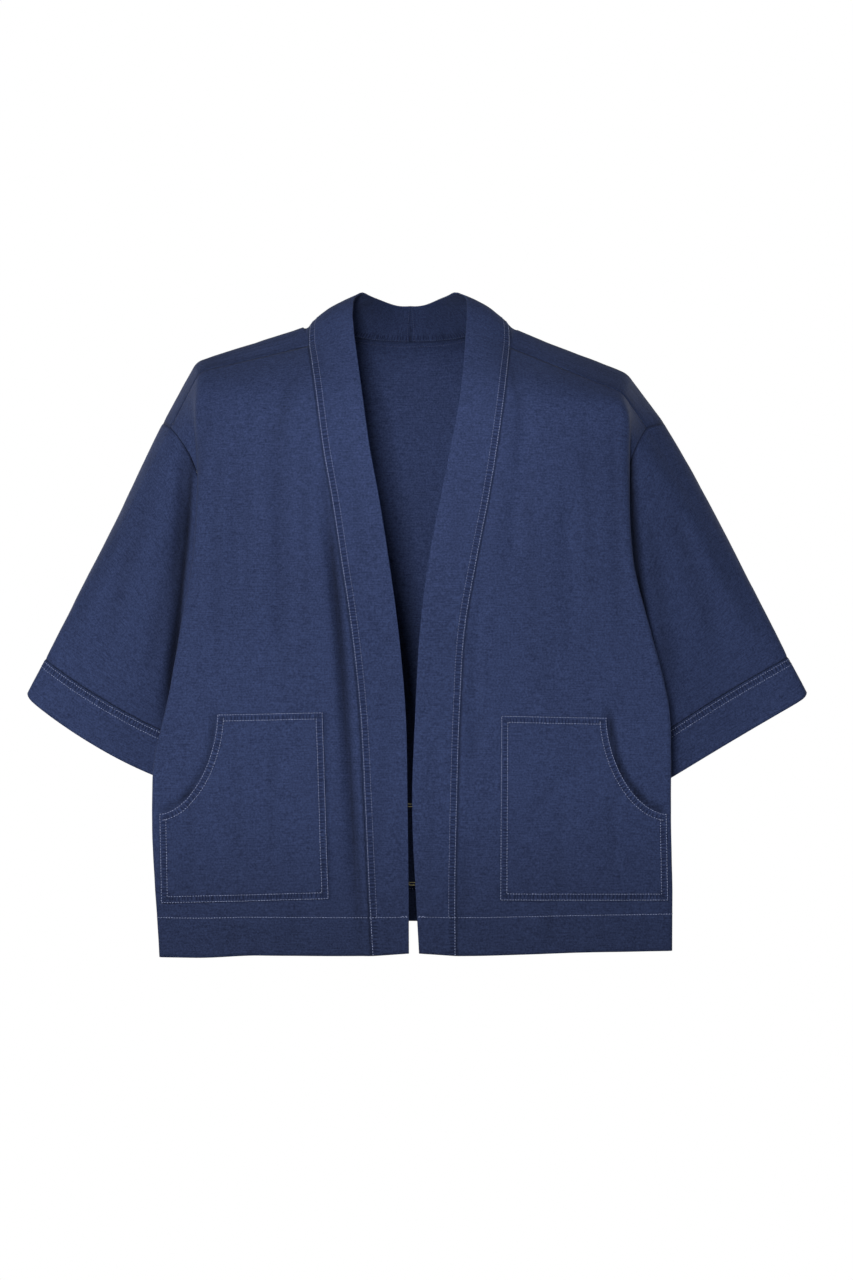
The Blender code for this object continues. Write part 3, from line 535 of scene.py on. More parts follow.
def across(inner, corner, edge, radius, place):
    """Point from the inner line over the rounded corner to the edge."""
    start = corner + (inner - corner).normalized() * radius
    finish = corner + (edge - corner).normalized() * radius
    if place <= TURN_START:
        return blend(inner, start, place / TURN_START)
    if place <= TURN_END:
        share = (place - TURN_START) / (TURN_END - TURN_START)
        return blend(blend(start, corner, share), blend(corner, finish, share), share)
    return blend(finish, edge, (place - TURN_END) / (1.0 - TURN_END))


def fold_depth(folds, place, rise):
    """Sum of the soft folds at a place across and a rise up the panel."""
    depth = 0.0
    for low, high, place_low, place_high, size, width in folds:
        along = (rise - low) / (high - low)
        fade = smooth_step(low, low + FOLD_FADE, rise) * smooth_step(high, high - FOLD_FADE, rise)
        middle = blend(place_low, place_high, along)
        depth += size * fade * math.exp(-((place - middle) / width) ** 2)
    return depth


def crease_depth(creases, x, z):
    """Sum of the listed creases at a place seen from the front or the back."""
    depth = 0.0
    for start_x, start_z, end_x, end_z, bow, size, width in creases:
        run_x = end_x - start_x
        run_z = end_z - start_z
        length = math.hypot(run_x, run_z)
        share = ((x - start_x) * run_x + (z - start_z) * run_z) / length ** 2
        if not -CREASE_OVERRUN < share < 1.0 + CREASE_OVERRUN:
            continue
        aside = ((x - start_x) * run_z - (z - start_z) * run_x) / length
        aside -= bow * 4.0 * share * (1.0 - share)
        if abs(aside) < CREASE_WIDTHS * width:
            fade = smooth_step(-CREASE_OVERRUN, CREASE_FADE, share)
            fade *= smooth_step(1.0 + CREASE_OVERRUN, 1.0 - CREASE_FADE, share)
            depth += size * fade * math.exp(-(aside / width) ** 2)
    return depth


def unevenness(point, seed):
    """Small unevenness of hanging cloth, longer up and down than across."""
    height = 0.0
    for (across_waves, up_waves, size), shift in ((SOFT_WAVES, seed), (FINE_WAVES, -seed)):
        place = Vector((point.x * across_waves, point.y * across_waves, point.z * up_waves + shift))
        height += size * noise.noise(place)
    return height


def front_point(side, place, rise):
    """Outer face of a front: place 0 at the neckband seam, 1 at the side or armhole seam."""
    settled = smooth_step(FRONT_SHIFT_RISE, 1.0, rise)
    seam = line_point(SEAM_LINE, side, rise) + seam_shift(side, settled, NECK_SHIFT)
    corner = line_point(FOLD_LINE, side, rise) + seam_shift(side, settled, 1.0)
    radius = spline(FOLD_LINE, rise)[4]
    edge = edge_point(side, rise, FRONT_ARMHOLE)
    point = across(seam, corner, edge, radius, place)
    rounded = 1.0 - smooth_step(CROWN_FADE_RISE, 1.0, rise)
    if place < TURN_START:
        point.y -= FRONT_CROWN * rounded * math.sin(math.pi * place / TURN_START)
    elif place > TURN_END:
        flank = (place - TURN_END) / (1.0 - TURN_END)
        point.x -= side * FLANK_HOLLOW * rounded * math.sin(math.pi * flank)
    own_folds = [row[1:] for row in FRONT_FOLDS if row[0] == side]
    edge_hold = smooth_step(0.0, FOLD_FROM_SEAM, place)
    edge_hold *= smooth_step(TURN_START, TURN_START - FOLD_FROM_TURN, place)
    point.y += edge_hold * fold_depth(own_folds, place, rise)
    settle = smooth_step(*HEM_SETTLE_PLACES[side], place) * smooth_step(HEM_SETTLE_RISE, 0.0, rise)
    point.z += HEM_SETTLE[side] * settle
    return point


def front_surface(side, place, rise):
    """The front with its creases."""
    point = front_point(side, place, rise)
    hold = smooth_step(0.0, FRONT_CREASE_START, place) * smooth_step(*FRONT_CREASE_END, place)
    hold *= smooth_step(1.0, FRONT_CREASE_TOP, rise)
    point.y += hold * crease_depth(FRONT_CREASES[side], point.x, point.z)
    return point


def back_point(place, rise):
    """Outer face of the back: place -1 at the left edge, 0 at the centre, 1 at the right edge."""
    side = LEFT if place < 0.0 else RIGHT
    distance = abs(place)
    at_seam = smooth_step(BACK_SHIFT_RISE, 1.0, rise)
    lowered = Vector((0.0, 0.0, -SHOULDER_DROP[side])) * smooth_step(*DROP_RISES, rise)
    neck = line_point(NECK_LINE, side, rise) + lowered * NECK_DROP * (1.0 - at_seam)
    neck += seam_shift(side, at_seam, NECK_SHIFT)
    corner = line_point(CORNER_LINE, side, rise) + lowered * (1.0 - at_seam)
    corner += seam_shift(side, at_seam, 1.0)
    if distance > NECK_SHARE:
        radius = spline(CORNER_LINE, rise)[4]
        edge = edge_point(side, rise, BACK_ARMHOLE)
        beyond = (distance - NECK_SHARE) / (1.0 - NECK_SHARE)
        point = across(neck, corner, edge, radius, beyond)
    else:
        share = distance / NECK_SHARE
        centre_y, centre_z = spline(CENTRE_LINE, rise)
        bow = spline(NECK_BOW, rise)[0]
        turn = 0.5 * math.pi * share
        out = blend(share, math.sin(turn) + NECK_SPREAD * math.sin(math.pi * share ** 3), bow)
        back_off = blend(share ** 2, 1.0 - math.cos(turn), bow)
        fall = blend(share ** 2, share ** 10, bow)
        point = Vector((
            blend(CENTRE_BACK_X, neck.x, out),
            blend(centre_y, neck.y, back_off),
            blend(centre_z, neck.z, fall) + NECK_ARCH * bow * math.sin(math.pi * share ** 3),
        ))
    edge_hold = smooth_step(*BACK_FOLD_END, distance)
    point.y -= edge_hold * fold_depth(BACK_FOLDS, place, rise)
    return point


def back_surface(place, rise):
    """The back with its creases."""
    point = back_point(place, rise)
    hold = smooth_step(*BACK_CREASE_END, abs(place)) * smooth_step(*BACK_CREASE_TOP, rise)
    point.y -= hold * crease_depth(BACK_CREASES, point.x, point.z)
    return point


def cuff_ring(side, outer, inner, bow, proud, angles):
    """Flattened ring across the sleeve, from its underarm fold round the front."""
    outer_point = Vector((outer[side][0], SLEEVE_Y, outer[side][1]))
    inner_point = Vector((inner[side][0], SLEEVE_Y, inner[side][1]))
    centre = (outer_point + inner_point) / 2.0
    half = (inner_point - outer_point) / 2.0
    half += half.normalized() * proud
    ring = []
    for angle in angles:
        deep = abs(math.sin(angle)) ** CUFF_SQUARENESS
        toward = -1.0 if math.sin(angle) >= 0.0 else 1.0
        drop = -bow[side] * math.sin(angle) ** 2
        shift = Vector((0.0, toward * deep * (CUFF_HALF_THICKNESS + proud), drop))
        ring.append(centre + half * math.cos(angle) + shift)
    return ring


def cuff_rings(side, angles):
    """Seam and lower edge of a cuff, whose corner at the outer fold is rounded off."""
    seam = cuff_ring(side, CUFF_OUTER_SEAM, CUFF_INNER_SEAM, CUFF_SEAM_BOW, CUFF_PROUD, angles)
    end = cuff_ring(side, CUFF_OUTER_END, CUFF_INNER_END, CUFF_END_BOW, CUFF_PROUD, angles)
    rounded = []
    for start, finish, angle in zip(seam, end, angles):
        drawn_in = CUFF_CORNER * math.exp(-((angle - math.pi) / CUFF_CORNER_REACH) ** 2)
        rounded.append(blend(finish, start, drawn_in))
    return seam, rounded


def ring_angles(loop):
    """Angle of each ring column, from its share of the armhole's length."""
    count = len(loop)
    lengths = [(loop[(i + 1) % count] - loop[i]).length for i in range(count)]
    total = sum(lengths)
    angles = []
    travelled = 0.0
    for length in lengths:
        angles.append(2.0 * math.pi * travelled / total)
        travelled += length
    return angles


def even_lines(start, finish, cells):
    return [blend(start, finish, i / cells) for i in range(cells)]


def grid_lines(beside_start, cells, beside_end):
    """Grid lines with even cells between the closer lines beside both edges."""
    between = even_lines(beside_start[-1], beside_end[0], cells)
    return list(beside_start[:-1]) + between + list(beside_end)


def rise_lines():
    """Rises of the fine grid lines shared by the fronts, the back, the sleeves and the neckband."""
    hem = even_lines(0.0, HEM_TOP - HEM_STEP, HEM_CELLS)
    side = even_lines(HEM_TOP, UNDERARM, SIDE_CELLS)
    return hem + [HEM_TOP - HEM_STEP] + side + grid_lines((UNDERARM,), ARM_CELLS, SHOULDER_LINES)


def place_lines():
    """Places of the fine grid lines across a front or half a back."""
    flat = grid_lines(SEAM_LINES, FLAT_CELLS, (TURN_START,))
    turn = even_lines(TURN_START, TURN_END, TURN_CELLS)
    return flat[:-1] + turn + grid_lines((TURN_END,), FLANK_CELLS, EDGE_LINES)


def neck_shares():
    """Shares of the way from the centre back to the neck point."""
    return even_lines(0.0, 1.0, NECK_CELLS)


def armhole_loop(side, rises):
    """Armhole seam from the underarm up the front, over the top and down the back."""
    upper = [rise for rise in rises if rise >= UNDERARM]
    front = [front_point(side, 1.0, rise) for rise in upper]
    back = [back_point(side * 1.0, rise) for rise in reversed(upper[1:-1])]
    return front + back


def run_lengths(points):
    """Length travelled up to each point."""
    travelled = [0.0]
    for before, here in zip(points, points[1:]):
        travelled.append(travelled[-1] + (here - before).length)
    return travelled


def edge_line(points, edge):
    """One named edge of a grid of points."""
    if edge in ("bottom", "top"):
        return points[0] if edge == "bottom" else points[-1]
    column = 0 if edge == "left" else -1
    return [row[column] for row in points]


def seam_finder(lines):
    """Function that gives the run along the nearest of these lines and the distance from it."""
    marks = []
    run = 0.0
    for line in lines:
        for place, _ in resampled(line, SEAM_MARKS):
            marks.append((place, run))
            run += SEAM_MARKS
    tree = KDTree(len(marks))
    for index, (place, _) in enumerate(marks):
        tree.insert(place, index)
    tree.balance()

    def find(point):
        _, index, distance = tree.find(point)
        return marks[index][1], distance

    return find


surfaces = {}


def finished_object(name, bm, finish):
    """Object of one finish at the origin, from a bmesh that is then freed."""
    mesh = bpy.data.meshes.new(name)
    bm.to_mesh(mesh)
    bm.free()
    mesh.materials.append(finish)
    mesh.shade_smooth()
    piece = bpy.data.objects.new(name, mesh)
    bpy.context.scene.collection.objects.link(piece)
    return piece


def turned(points, if_so):
    """The grid with its columns in the other order, where a side needs it."""
    return [row[::-1] for row in points] if if_so else points


def cloth_piece(
    name, points, sewn, finish, wall, seed,
    stitched=(), closed=False, raise_by=None, hem_rows=0, creases=(),
):
    """Fine cloth through a grid of points, rows from the bottom up and columns left to right.

    Sewn names the edges that meet another piece: they sink a little and stay unruffled.
    Stitched names the edges that two rows of stitches follow. The first UV map holds the flat
    cloth's metres, the second the run along a stitched edge and the distance from it.
    raise_by gives a further height from u, v and the point. Creases are the rows of a table
    that are in these points already; painted shade in their troughs and beside sewn edges is kept as an
    attribute.
    """
    rows = len(points)
    columns = len(points[0])
    find_seam = seam_finder([edge_line(points, edge) for edge in stitched]) if stitched else None
    u_at = run_lengths(points[rows // 2])
    v_at = run_lengths([row[columns // 2] for row in points])
    bm = bmesh.new()
    bmesh.ops.create_grid(bm, x_segments=columns - 1, y_segments=rows - 1, size=0.5)
    uv_layer = bm.loops.layers.uv.new("cloth")
    seam_layer = bm.loops.layers.uv.new("seam")
    painted_shade_layer = bm.verts.layers.float.new("trough")
    places = {}
    seam_places = {}
    nearest = {}
    for vertex in bm.verts:
        column = round((vertex.co.x + 0.5) * (columns - 1))
        row = round((vertex.co.y + 0.5) * (rows - 1))
        places[vertex] = (column, row)
        vertex.co = points[row][column]
        seam_places[vertex] = find_seam(vertex.co) if find_seam else (0.0, FAR_FROM_SEAM)
        gaps = {"left": u_at[column], "right": u_at[-1] - u_at[column],
                "bottom": v_at[row], "top": v_at[-1] - v_at[row]}
        nearest[vertex] = min([gaps[edge] for edge in sewn], default=FAR_FROM_SEAM)
        # Painted shade in the creases' troughs and beside sewn edges
        shade = crease_depth(creases, vertex.co.x, vertex.co.z) / FULL_TROUGH
        shade += SEAM_SHADE * math.exp(-(nearest[vertex] / SEAM_SINK_WIDTH) ** 2)
        vertex[painted_shade_layer] = min(max(shade, 0.0), 1.0)
    for face in bm.faces:
        for loop in face.loops:
            column, row = places[loop.vert]
            loop[uv_layer].uv = (u_at[column], v_at[row])
            loop[seam_layer].uv = seam_places[loop.vert]
    bm.normal_update()
    moves = []
    for vertex, (column, row) in places.items():
        height = unevenness(vertex.co, seed) * smooth_step(0.0, SEWN_FADE, nearest[vertex])
        height -= SEAM_SINK * math.exp(-(nearest[vertex] / SEAM_SINK_WIDTH) ** 2)
        if raise_by:
            height += raise_by(u_at[column], v_at[row], vertex.co)
        moves.append((vertex, vertex.normal * height))
    for vertex, move in moves:
        vertex.co += move
    hem = [vertex.index for vertex, (column, row) in places.items() if row < hem_rows]
    if closed:
        bmesh.ops.remove_doubles(bm, verts=bm.verts, dist=MERGE_REACH)
        bm.normal_update()
    surfaces[name] = BVHTree.FromBMesh(bm)
    piece = finished_object(name, bm, finish)
    solid = piece.modifiers.new("cloth wall", "SOLIDIFY")
    solid.thickness = wall
    solid.offset = -1.0
    solid.use_rim = True
    if hem:
        group = piece.vertex_groups.new(name="turned-up hem")
        group.add(hem, 1.0, "REPLACE")
        solid.thickness = DOUBLE_CLOTH
        solid.vertex_group = group.name
        solid.thickness_vertex_group = wall / DOUBLE_CLOTH
    return piece


def make_front(side, finish):
    rises = rise_lines()
    places = place_lines()
    hem_rows = sum(1 for rise in rises if rise < HEM_TOP)
    points = [[front_surface(side, place, rise) for place in places] for rise in rises]
    for row in points:
        for point in row:
            if point.y < OPENING_REACH_Y:
                point.y += crease_depth(OPENING_CREASES[side], point.x, point.z)
    return cloth_piece(
        "front_panel_" + SIDE_NAMES[side], turned(points, side == LEFT), ("left", "right", "top"),
        finish, CLOTH, seed=3.0 + side, hem_rows=hem_rows,
        creases=FRONT_CREASES[side] + OPENING_CREASES[side],
    )


def make_back(finish):
    rises = rise_lines()
    half = [NECK_SHARE * share for share in neck_shares()]
    half += [NECK_SHARE + (1.0 - NECK_SHARE) * place for place in place_lines()]
    places = half[::-1] + [-place for place in half[1:]]
    hem_rows = sum(1 for rise in rises if rise < HEM_TOP)
    points = [[back_surface(place, rise) for place in places] for rise in rises]
    return cloth_piece(
        "back_panel", points, ("left", "right", "top"), finish, CLOTH, seed=7.0, hem_rows=hem_rows,
        creases=BACK_CREASES,
    )


def sleeve_surface(side, start, finish, share, angle):
    """Point of a sleeve, a share of the way from the armhole to the cuff seam."""
    swell = math.sin(math.pi * share)
    point = blend(start, finish, share)
    point.y -= SLEEVE_FULLNESS * swell * math.sin(angle)
    under = max(math.cos(angle), 0.0) ** 2
    point.x += side * SLEEVE_UNDER_BULGE * swell * under
    top = SLEEVE_TOP_BOW[side] * swell * max(-math.cos(angle), 0.0) ** 2
    point.x += side * SLEEVE_TOP_WAY[0] * top
    point.z += SLEEVE_TOP_WAY[1] * top
    facing = math.sin(angle)
    hold = min(abs(facing) * 2.0, 1.0) * smooth_step(0.0, SLEEVE_CREASE_START, share)
    point.y += math.copysign(hold, facing) * crease_depth(SLEEVE_CREASES, point.x, point.z)
    return point


def make_sleeve(side, finish):
    loop = armhole_loop(side, rise_lines())
    angles = ring_angles(loop)
    seam = cuff_ring(side, CUFF_OUTER_SEAM, CUFF_INNER_SEAM, CUFF_SEAM_BOW, 0.0, angles)
    points = []
    for share in grid_lines(*SLEEVE_GRID):
        ring = [
            sleeve_surface(side, start, end, share, angle)
            for start, end, angle in zip(loop, seam, angles)
        ]
        points.append(ring + ring[:1])
    points = turned(points, side == LEFT)
    length = run_lengths([row[len(row) // 2] for row in points])[-1]

    def gathers(u, v, point):
        ease = noise.noise(Vector((u * GATHER_WAVES, side * 4.0, 0.5)))
        from_armhole = length - v
        reach = math.exp(-(from_armhole / GATHER_REACH) ** 2)
        return GATHER_HEIGHT * ease * reach * smooth_step(0.0, GATHER_START, from_armhole)

    return cloth_piece(
        "sleeve_tube_" + SIDE_NAMES[side], points[::-1], ("bottom", "top"), finish, CLOTH,
        seed=12.0 + side, closed=True, raise_by=gathers, creases=SLEEVE_CREASES,
    )


def make_cuff(side, finish):
    angles = ring_angles(armhole_loop(side, rise_lines()))
    seam, end = cuff_rings(side, angles)
    points = []
    for share in grid_lines(*CUFF_GRID):
        ring = [blend(upper, lower, share) for upper, lower in zip(seam, end)]
        points.append(ring + ring[:1])
    points = turned(points, side == LEFT)
    return cloth_piece(
        "cuff_band_" + SIDE_NAMES[side], points[::-1], ("top",), finish, DOUBLE_CLOTH,
        seed=18.0 + side, stitched=("top",), closed=True,
    )


def band_seam(side, reach):
    """Seam of the neckband: up to 1 along the front, then round the neck to 2."""
    if reach <= 1.0:
        return front_point(side, 0.0, reach)
    return back_point(side * (2.0 - reach) * NECK_SHARE, 1.0)


def band_name(side):
    return "neckband_" + SIDE_NAMES[side] + "_cloth"


def band_surface(side, share, reach):
    """Outer face of the neckband: share 0 at its seam, 1 at its free edge."""
    seam = band_seam(side, reach)
    edge = line_point(BAND_EDGE, side, reach)
    after = min(reach + BAND_STEP, 2.0)
    before = reach - BAND_STEP
    ahead = line_point(BAND_EDGE, side, after) + band_seam(side, after)
    behind = line_point(BAND_EDGE, side, before) + band_seam(side, before)
    outward = (edge - seam).cross(ahead - behind).normalized() * -side
    crown = spline(BAND_CROWN, reach)[0] * math.sin(math.pi * share)
    point = blend(seam, edge, share) + outward * crown
    if reach < 1.0:
        hold = smooth_step(1.0, BAND_CREASE_TOP, reach) * smooth_step(0.0, BAND_CREASE_START, share)
        point.y += hold * crease_depth(BAND_CREASES, point.x, point.z)
    return point


def make_neckband(side, finish):
    reaches = rise_lines() + [2.0 - share for share in reversed(neck_shares())]
    shares = grid_lines(*BAND_GRID)
    points = [[band_surface(side, share, reach) for share in shares] for reach in reaches]
    points = turned(points, side == RIGHT)
    seam_edge = "left" if side == LEFT else "right"
    return cloth_piece(
        band_name(side), points, (seam_edge,), finish, BAND_WALL,
        seed=23.0 + side, stitched=(seam_edge,), creases=BAND_CREASES,
    )


def front_at(side, x, z):
    """Point of the creased front seen at x and z, and its normal."""
    place = GUESS_PLACE
    rise = GUESS_RISE
    for _ in range(SEARCH_ROUNDS):
        here = front_point(side, place, rise)
        place += (abs(x) - abs(here.x)) / FRONT_WIDTH * TURN_START
        rise += (z - here.z) / PANEL_SIDE_HEIGHT * UNDERARM
    point = front_surface(side, place, rise)
    along = front_surface(side, place + FRONT_STEP, rise) - front_surface(side, place - FRONT_STEP, rise)
    up = front_surface(side, place, rise + FRONT_STEP) - front_surface(side, place, rise - FRONT_STEP)
    normal = along.cross(up).normalized()
    return point, normal if normal.y < 0.0 else -normal


def pocket_side(side, share):
    """How far up the pocket is, and the x of its outer side, a share of the way up."""
    if share < POCKET_STRAIGHT:
        part = share / POCKET_STRAIGHT
        side_x = blend(POCKET_BASE_OUTER[side][0], POCKET_SIDE_X[side], part)
        return part * POCKET_SIDE_SHARE, side_x
    angle = 0.5 * math.pi * (share - POCKET_STRAIGHT) / (1.0 - POCKET_STRAIGHT)
    drawn_in = math.sin(angle) ** (2.0 / POCKET_ROUNDNESS)
    risen = 1.0 - max(math.cos(angle), 0.0) ** (2.0 / POCKET_ROUNDNESS)
    return (
        blend(POCKET_SIDE_SHARE, 1.0, risen),
        blend(POCKET_SIDE_X[side], POCKET_TOP_OUTER[side][0], drawn_in),
    )


def pocket_place(side, across_share, up_share):
    """Where a pocket's point is seen: across from the inner to the outer side."""
    up, outer_x = pocket_side(side, up_share)
    inner_x = blend(POCKET_BASE_INNER[side][0], POCKET_TOP_INNER[side][0], up)
    inner_z = blend(POCKET_BASE_INNER[side][1], POCKET_TOP_INNER[side][1], up)
    outer_z = blend(POCKET_BASE_OUTER[side][1], POCKET_TOP_OUTER[side][1], up)
    return blend(inner_x, outer_x, across_share), blend(inner_z, outer_z, across_share)


def make_pocket(side, finish):
    columns = grid_lines(*POCKET_GRID_ACROSS)
    points = []
    for up_share in grid_lines(*POCKET_GRID_UP):
        row = []
        for across_share in columns:
            x, z = pocket_place(side, across_share, up_share)
            point, normal = front_at(side, x, z)
            row.append(point + normal * (POCKET_LIFT + CLOTH))
        points.append(row)

    def slack(u, v, point):
        place = Vector((u * SLACK_WAVES[0], v * SLACK_WAVES[1], 3.0 * side))
        return SLACK_HEIGHT * noise.noise(place)

    return cloth_piece(
        "patch_pocket_" + SIDE_NAMES[side], turned(points, side == LEFT), (), finish, CLOTH,
        seed=31.0 + side, stitched=("left", "right", "bottom", "top"), raise_by=slack,
        creases=FRONT_CREASES[side],
    )


def resampled(path, pitch):
    """Points at an even pitch along a path, and the direction there."""
    travelled = run_lengths(path)
    count = max(int(travelled[-1] / pitch), 1)
    places = []
    index = 0
    for number in range(count):
        distance = (number + 0.5) * travelled[-1] / count
        while index < len(path) - 2 and travelled[index + 1] < distance:
            index += 1
        span = max(travelled[index + 1] - travelled[index], 1e-9)
        share = (distance - travelled[index]) / span
        direction = path[index + 1] - path[index]
        places.append((blend(path[index], path[index + 1], share), direction.normalized()))
    return places


def stitch_row(whole, surface, path, wall):
    """Adds a row of machine stitches along a path on a surface; a wall puts them on its inside."""
    places = resampled(path, STITCH_PITCH)
    for first in range(0, len(places), STITCHES_A_RUN):
        bm = bmesh.new()
        stitch_run(bm, surface, places[first:first + STITCHES_A_RUN], wall)
        run = bpy.data.meshes.new("run of stitches")
        bm.to_mesh(run)
        bm.free()
        whole.from_mesh(run)
        bpy.data.meshes.remove(run)


def stitch_run(bm, surface, places, wall):
    """A few stitches, made apart because the operators slow down as a mesh grows."""
    for point, direction in places:
        place, normal, _, _ = surfaces[surface].find_nearest(point)
        if wall:
            place = place - normal * wall
            normal = -normal
        side_way = normal.cross(direction).normalized()
        forward = side_way.cross(normal).normalized()
        sway = THREAD_SWAY * noise.noise(place * THREAD_SWAYS)
        centre = place + normal * (THREAD_WIDTH * THREAD_OUT) + side_way * sway
        turn = Matrix((forward, side_way, normal)).transposed().to_4x4()
        stretch = Matrix.Diagonal((STITCH_LENGTH / 2.0, THREAD_WIDTH / 2.0, THREAD_WIDTH / 2.0, 1.0))
        bmesh.ops.create_uvsphere(
            bm, u_segments=THREAD_SIDES, v_segments=THREAD_RINGS, radius=1.0,
            matrix=Matrix.Translation(centre) @ turn @ stretch,
        )


def stitching(name, rows, finish):
    """One object of stitches from rows of (surface, path, wall)."""
    bm = bmesh.new()
    for surface, path, wall in rows:
        stitch_row(bm, surface, path, wall)
    return finished_object(name, bm, finish)


def path_shares(cells, start=0.0, finish=1.0):
    """Even values from the start to the finish, both included."""
    return [blend(start, finish, number / cells) for number in range(cells + 1)]


def band_row(side, offset, start):
    """Path along the neckband at a distance from its seam."""
    path = []
    for reach in path_shares(BAND_ROW_CELLS, start, BAND_ROW_END):
        width = (line_point(BAND_EDGE, side, reach) - band_seam(side, reach)).length
        path.append(band_surface(side, offset / width, reach))
    return path


def neckband_stitches(side):
    """Row beside the seam, the hem's row across the band and its back tack."""
    paths = (
        band_row(side, FIRST_ROW, 0.0),
        [band_surface(side, share, HEM_TOP) for share in path_shares(20, 0.0, TACK[1])],
        [band_surface(side, share, HEM_TOP + TACK_RISE) for share in path_shares(5, *TACK)],
    )
    return [(band_name(side), path, 0.0) for path in paths]


def neckband_inner_row(side):
    return [(band_name(side), band_row(side, FIRST_ROW + ROW_SPACING, HEM_TOP), 0.0)]


def hem_stitches():
    rows = []
    for side in (LEFT, RIGHT):
        places = path_shares(80, HEM_ROW_ENDS, 1.0 - HEM_ROW_ENDS)
        path = [front_surface(side, place, HEM_TOP) for place in places]
        rows.append(("front_panel_" + SIDE_NAMES[side], path, 0.0))
    path = [back_surface(place, HEM_TOP) for place in path_shares(160, -BACK_ROW_END, BACK_ROW_END)]
    rows.append(("back_panel", path, 0.0))
    rows.append(("back_panel", path, CLOTH))
    return rows


def neck_stitches():
    """The rows beside the band's centre back seam and round the inside of the neck."""
    places = path_shares(60, -NECK_ROW_END, NECK_ROW_END)
    path = [back_surface(place * NECK_SHARE, 1.0) + NECK_ROW_DROP for place in places]
    rows = [("back_panel", path, CLOTH)]
    for side in (LEFT, RIGHT):
        shares = path_shares(10, *CENTRE_ROW_SHARES)
        centre = [band_surface(side, share, CENTRE_ROW_REACH) for share in shares]
        reaches = path_shares(60, *NECK_ROW_REACHES)
        inner = [band_surface(side, NECK_ROW_SHARE, reach) for reach in reaches]
        rows.append((band_name(side), centre, 0.0))
        rows.append((band_name(side), centre, BAND_WALL))
        rows.append((band_name(side), inner, BAND_WALL))
    return rows


def cuff_stitches(side):
    angles = ring_angles(armhole_loop(side, rise_lines()))
    seam, end = cuff_rings(side, angles)
    rows = []
    for offset in (FIRST_ROW + EDGE_ROW, FIRST_ROW + EDGE_ROW + ROW_SPACING):
        share = offset / (end[len(end) // 2] - seam[len(seam) // 2]).length
        path = [blend(start, finish, share) for start, finish in zip(seam, end)]
        rows.append(("cuff_band_" + SIDE_NAMES[side], path + path[:1], 0.0))
    return rows


def inset(outline, distance):
    """A closed outline of flat points that runs anticlockwise, moved inwards."""
    count = len(outline)
    moved = []
    for index, here in enumerate(outline):
        before = outline[index - 1]
        after = outline[(index + 1) % count]
        way_in = (here - before).normalized()
        way_out = (after - here).normalized()
        normal_in = Vector((-way_in.y, way_in.x))
        normal_out = Vector((-way_out.y, way_out.x))
        bisector = (normal_in + normal_out).normalized()
        moved.append(here + bisector * distance / max(abs(bisector.dot(normal_in)), 0.4))
    return moved


def pocket_stitches(side):
    """Twin rows all round a pocket."""
    ring = [(0.0, 0.0), (0.5, 0.0)]
    ring += [(1.0, share) for share in even_lines(0.0, 1.0, 40)]
    ring += [(1.0, 1.0), (0.5, 1.0), (0.0, 1.0), (0.0, 0.5)]
    outline = [Vector(pocket_place(side, *place)) for place in ring]
    if side == LEFT:
        outline.reverse()
    rows = []
    for offset in (EDGE_ROW, EDGE_ROW + ROW_SPACING):
        flat = inset(outline, offset)
        path = [front_at(side, point.x, point.y)[0] for point in flat]
        rows.append(("patch_pocket_" + SIDE_NAMES[side], path + path[:1], 0.0))
    return rows


# Patterns of the cloth
THREAD_DRIFTS_PER_METRE = 160.0
THREAD_DRIFT = 3.0
SLUBS_PER_METRE = (60.0, 900.0, 1.0)
BROAD_CRINKLES_PER_METRE = 120.0
BROAD_CRINKLE = 0.12
DYE_PATCHES_PER_METRE = 9.0
PUCKER_SHIFTS_PER_METRE = 90.0
PUCKER_SHIFT = 1.6


def new_group(name, inputs, outputs):
    """Empty shader group: inputs of (name, type, value) and outputs of (name, type)."""
    group = bpy.data.node_groups.new(name, "ShaderNodeTree")
    for socket_name, kind, value in inputs:
        socket = group.interface.new_socket(socket_name, in_out="INPUT", socket_type=kind)
        if value is not None:
            socket.default_value = value
    for socket_name, kind in outputs:
        group.interface.new_socket(socket_name, in_out="OUTPUT", socket_type=kind)
    return group


class Tree:
    """Short calls to add and join the nodes of one node tree."""

    def __init__(self, tree):
        self.tree = tree

    def node(self, kind, links=(), **settings):
        made = self.tree.nodes.new(kind)
        for key, value in settings.items():
            setattr(made, key, value)
        for socket, source in dict(links).items():
            if isinstance(source, bpy.types.NodeSocket):
                self.tree.links.new(source, made.inputs[socket])
            else:
                made.inputs[socket].default_value = source
        return made

    def math(self, operation, first, second=0.0):
        return self.node("ShaderNodeMath", {0: first, 1: second}, operation=operation).outputs[0]

    def noise(self, vector, scale, detail=2.0, roughness=0.5):
        settings = {"Vector": vector, "Scale": scale, "Detail": detail, "Roughness": roughness}
        return self.node("ShaderNodeTexNoise", settings).outputs["Fac"]

    def total(self, *parts):
        """Sum of values, each times its weight."""
        made = 0.0
        for value, weight in parts:
            made = self.math("ADD", made, self.math("MULTIPLY", value, weight))
        return made

    def bump(self, height, strength, depth):
        settings = {"Height": height, "Strength": strength, "Distance": depth}
        return self.node("ShaderNodeBump", settings).outputs[0]


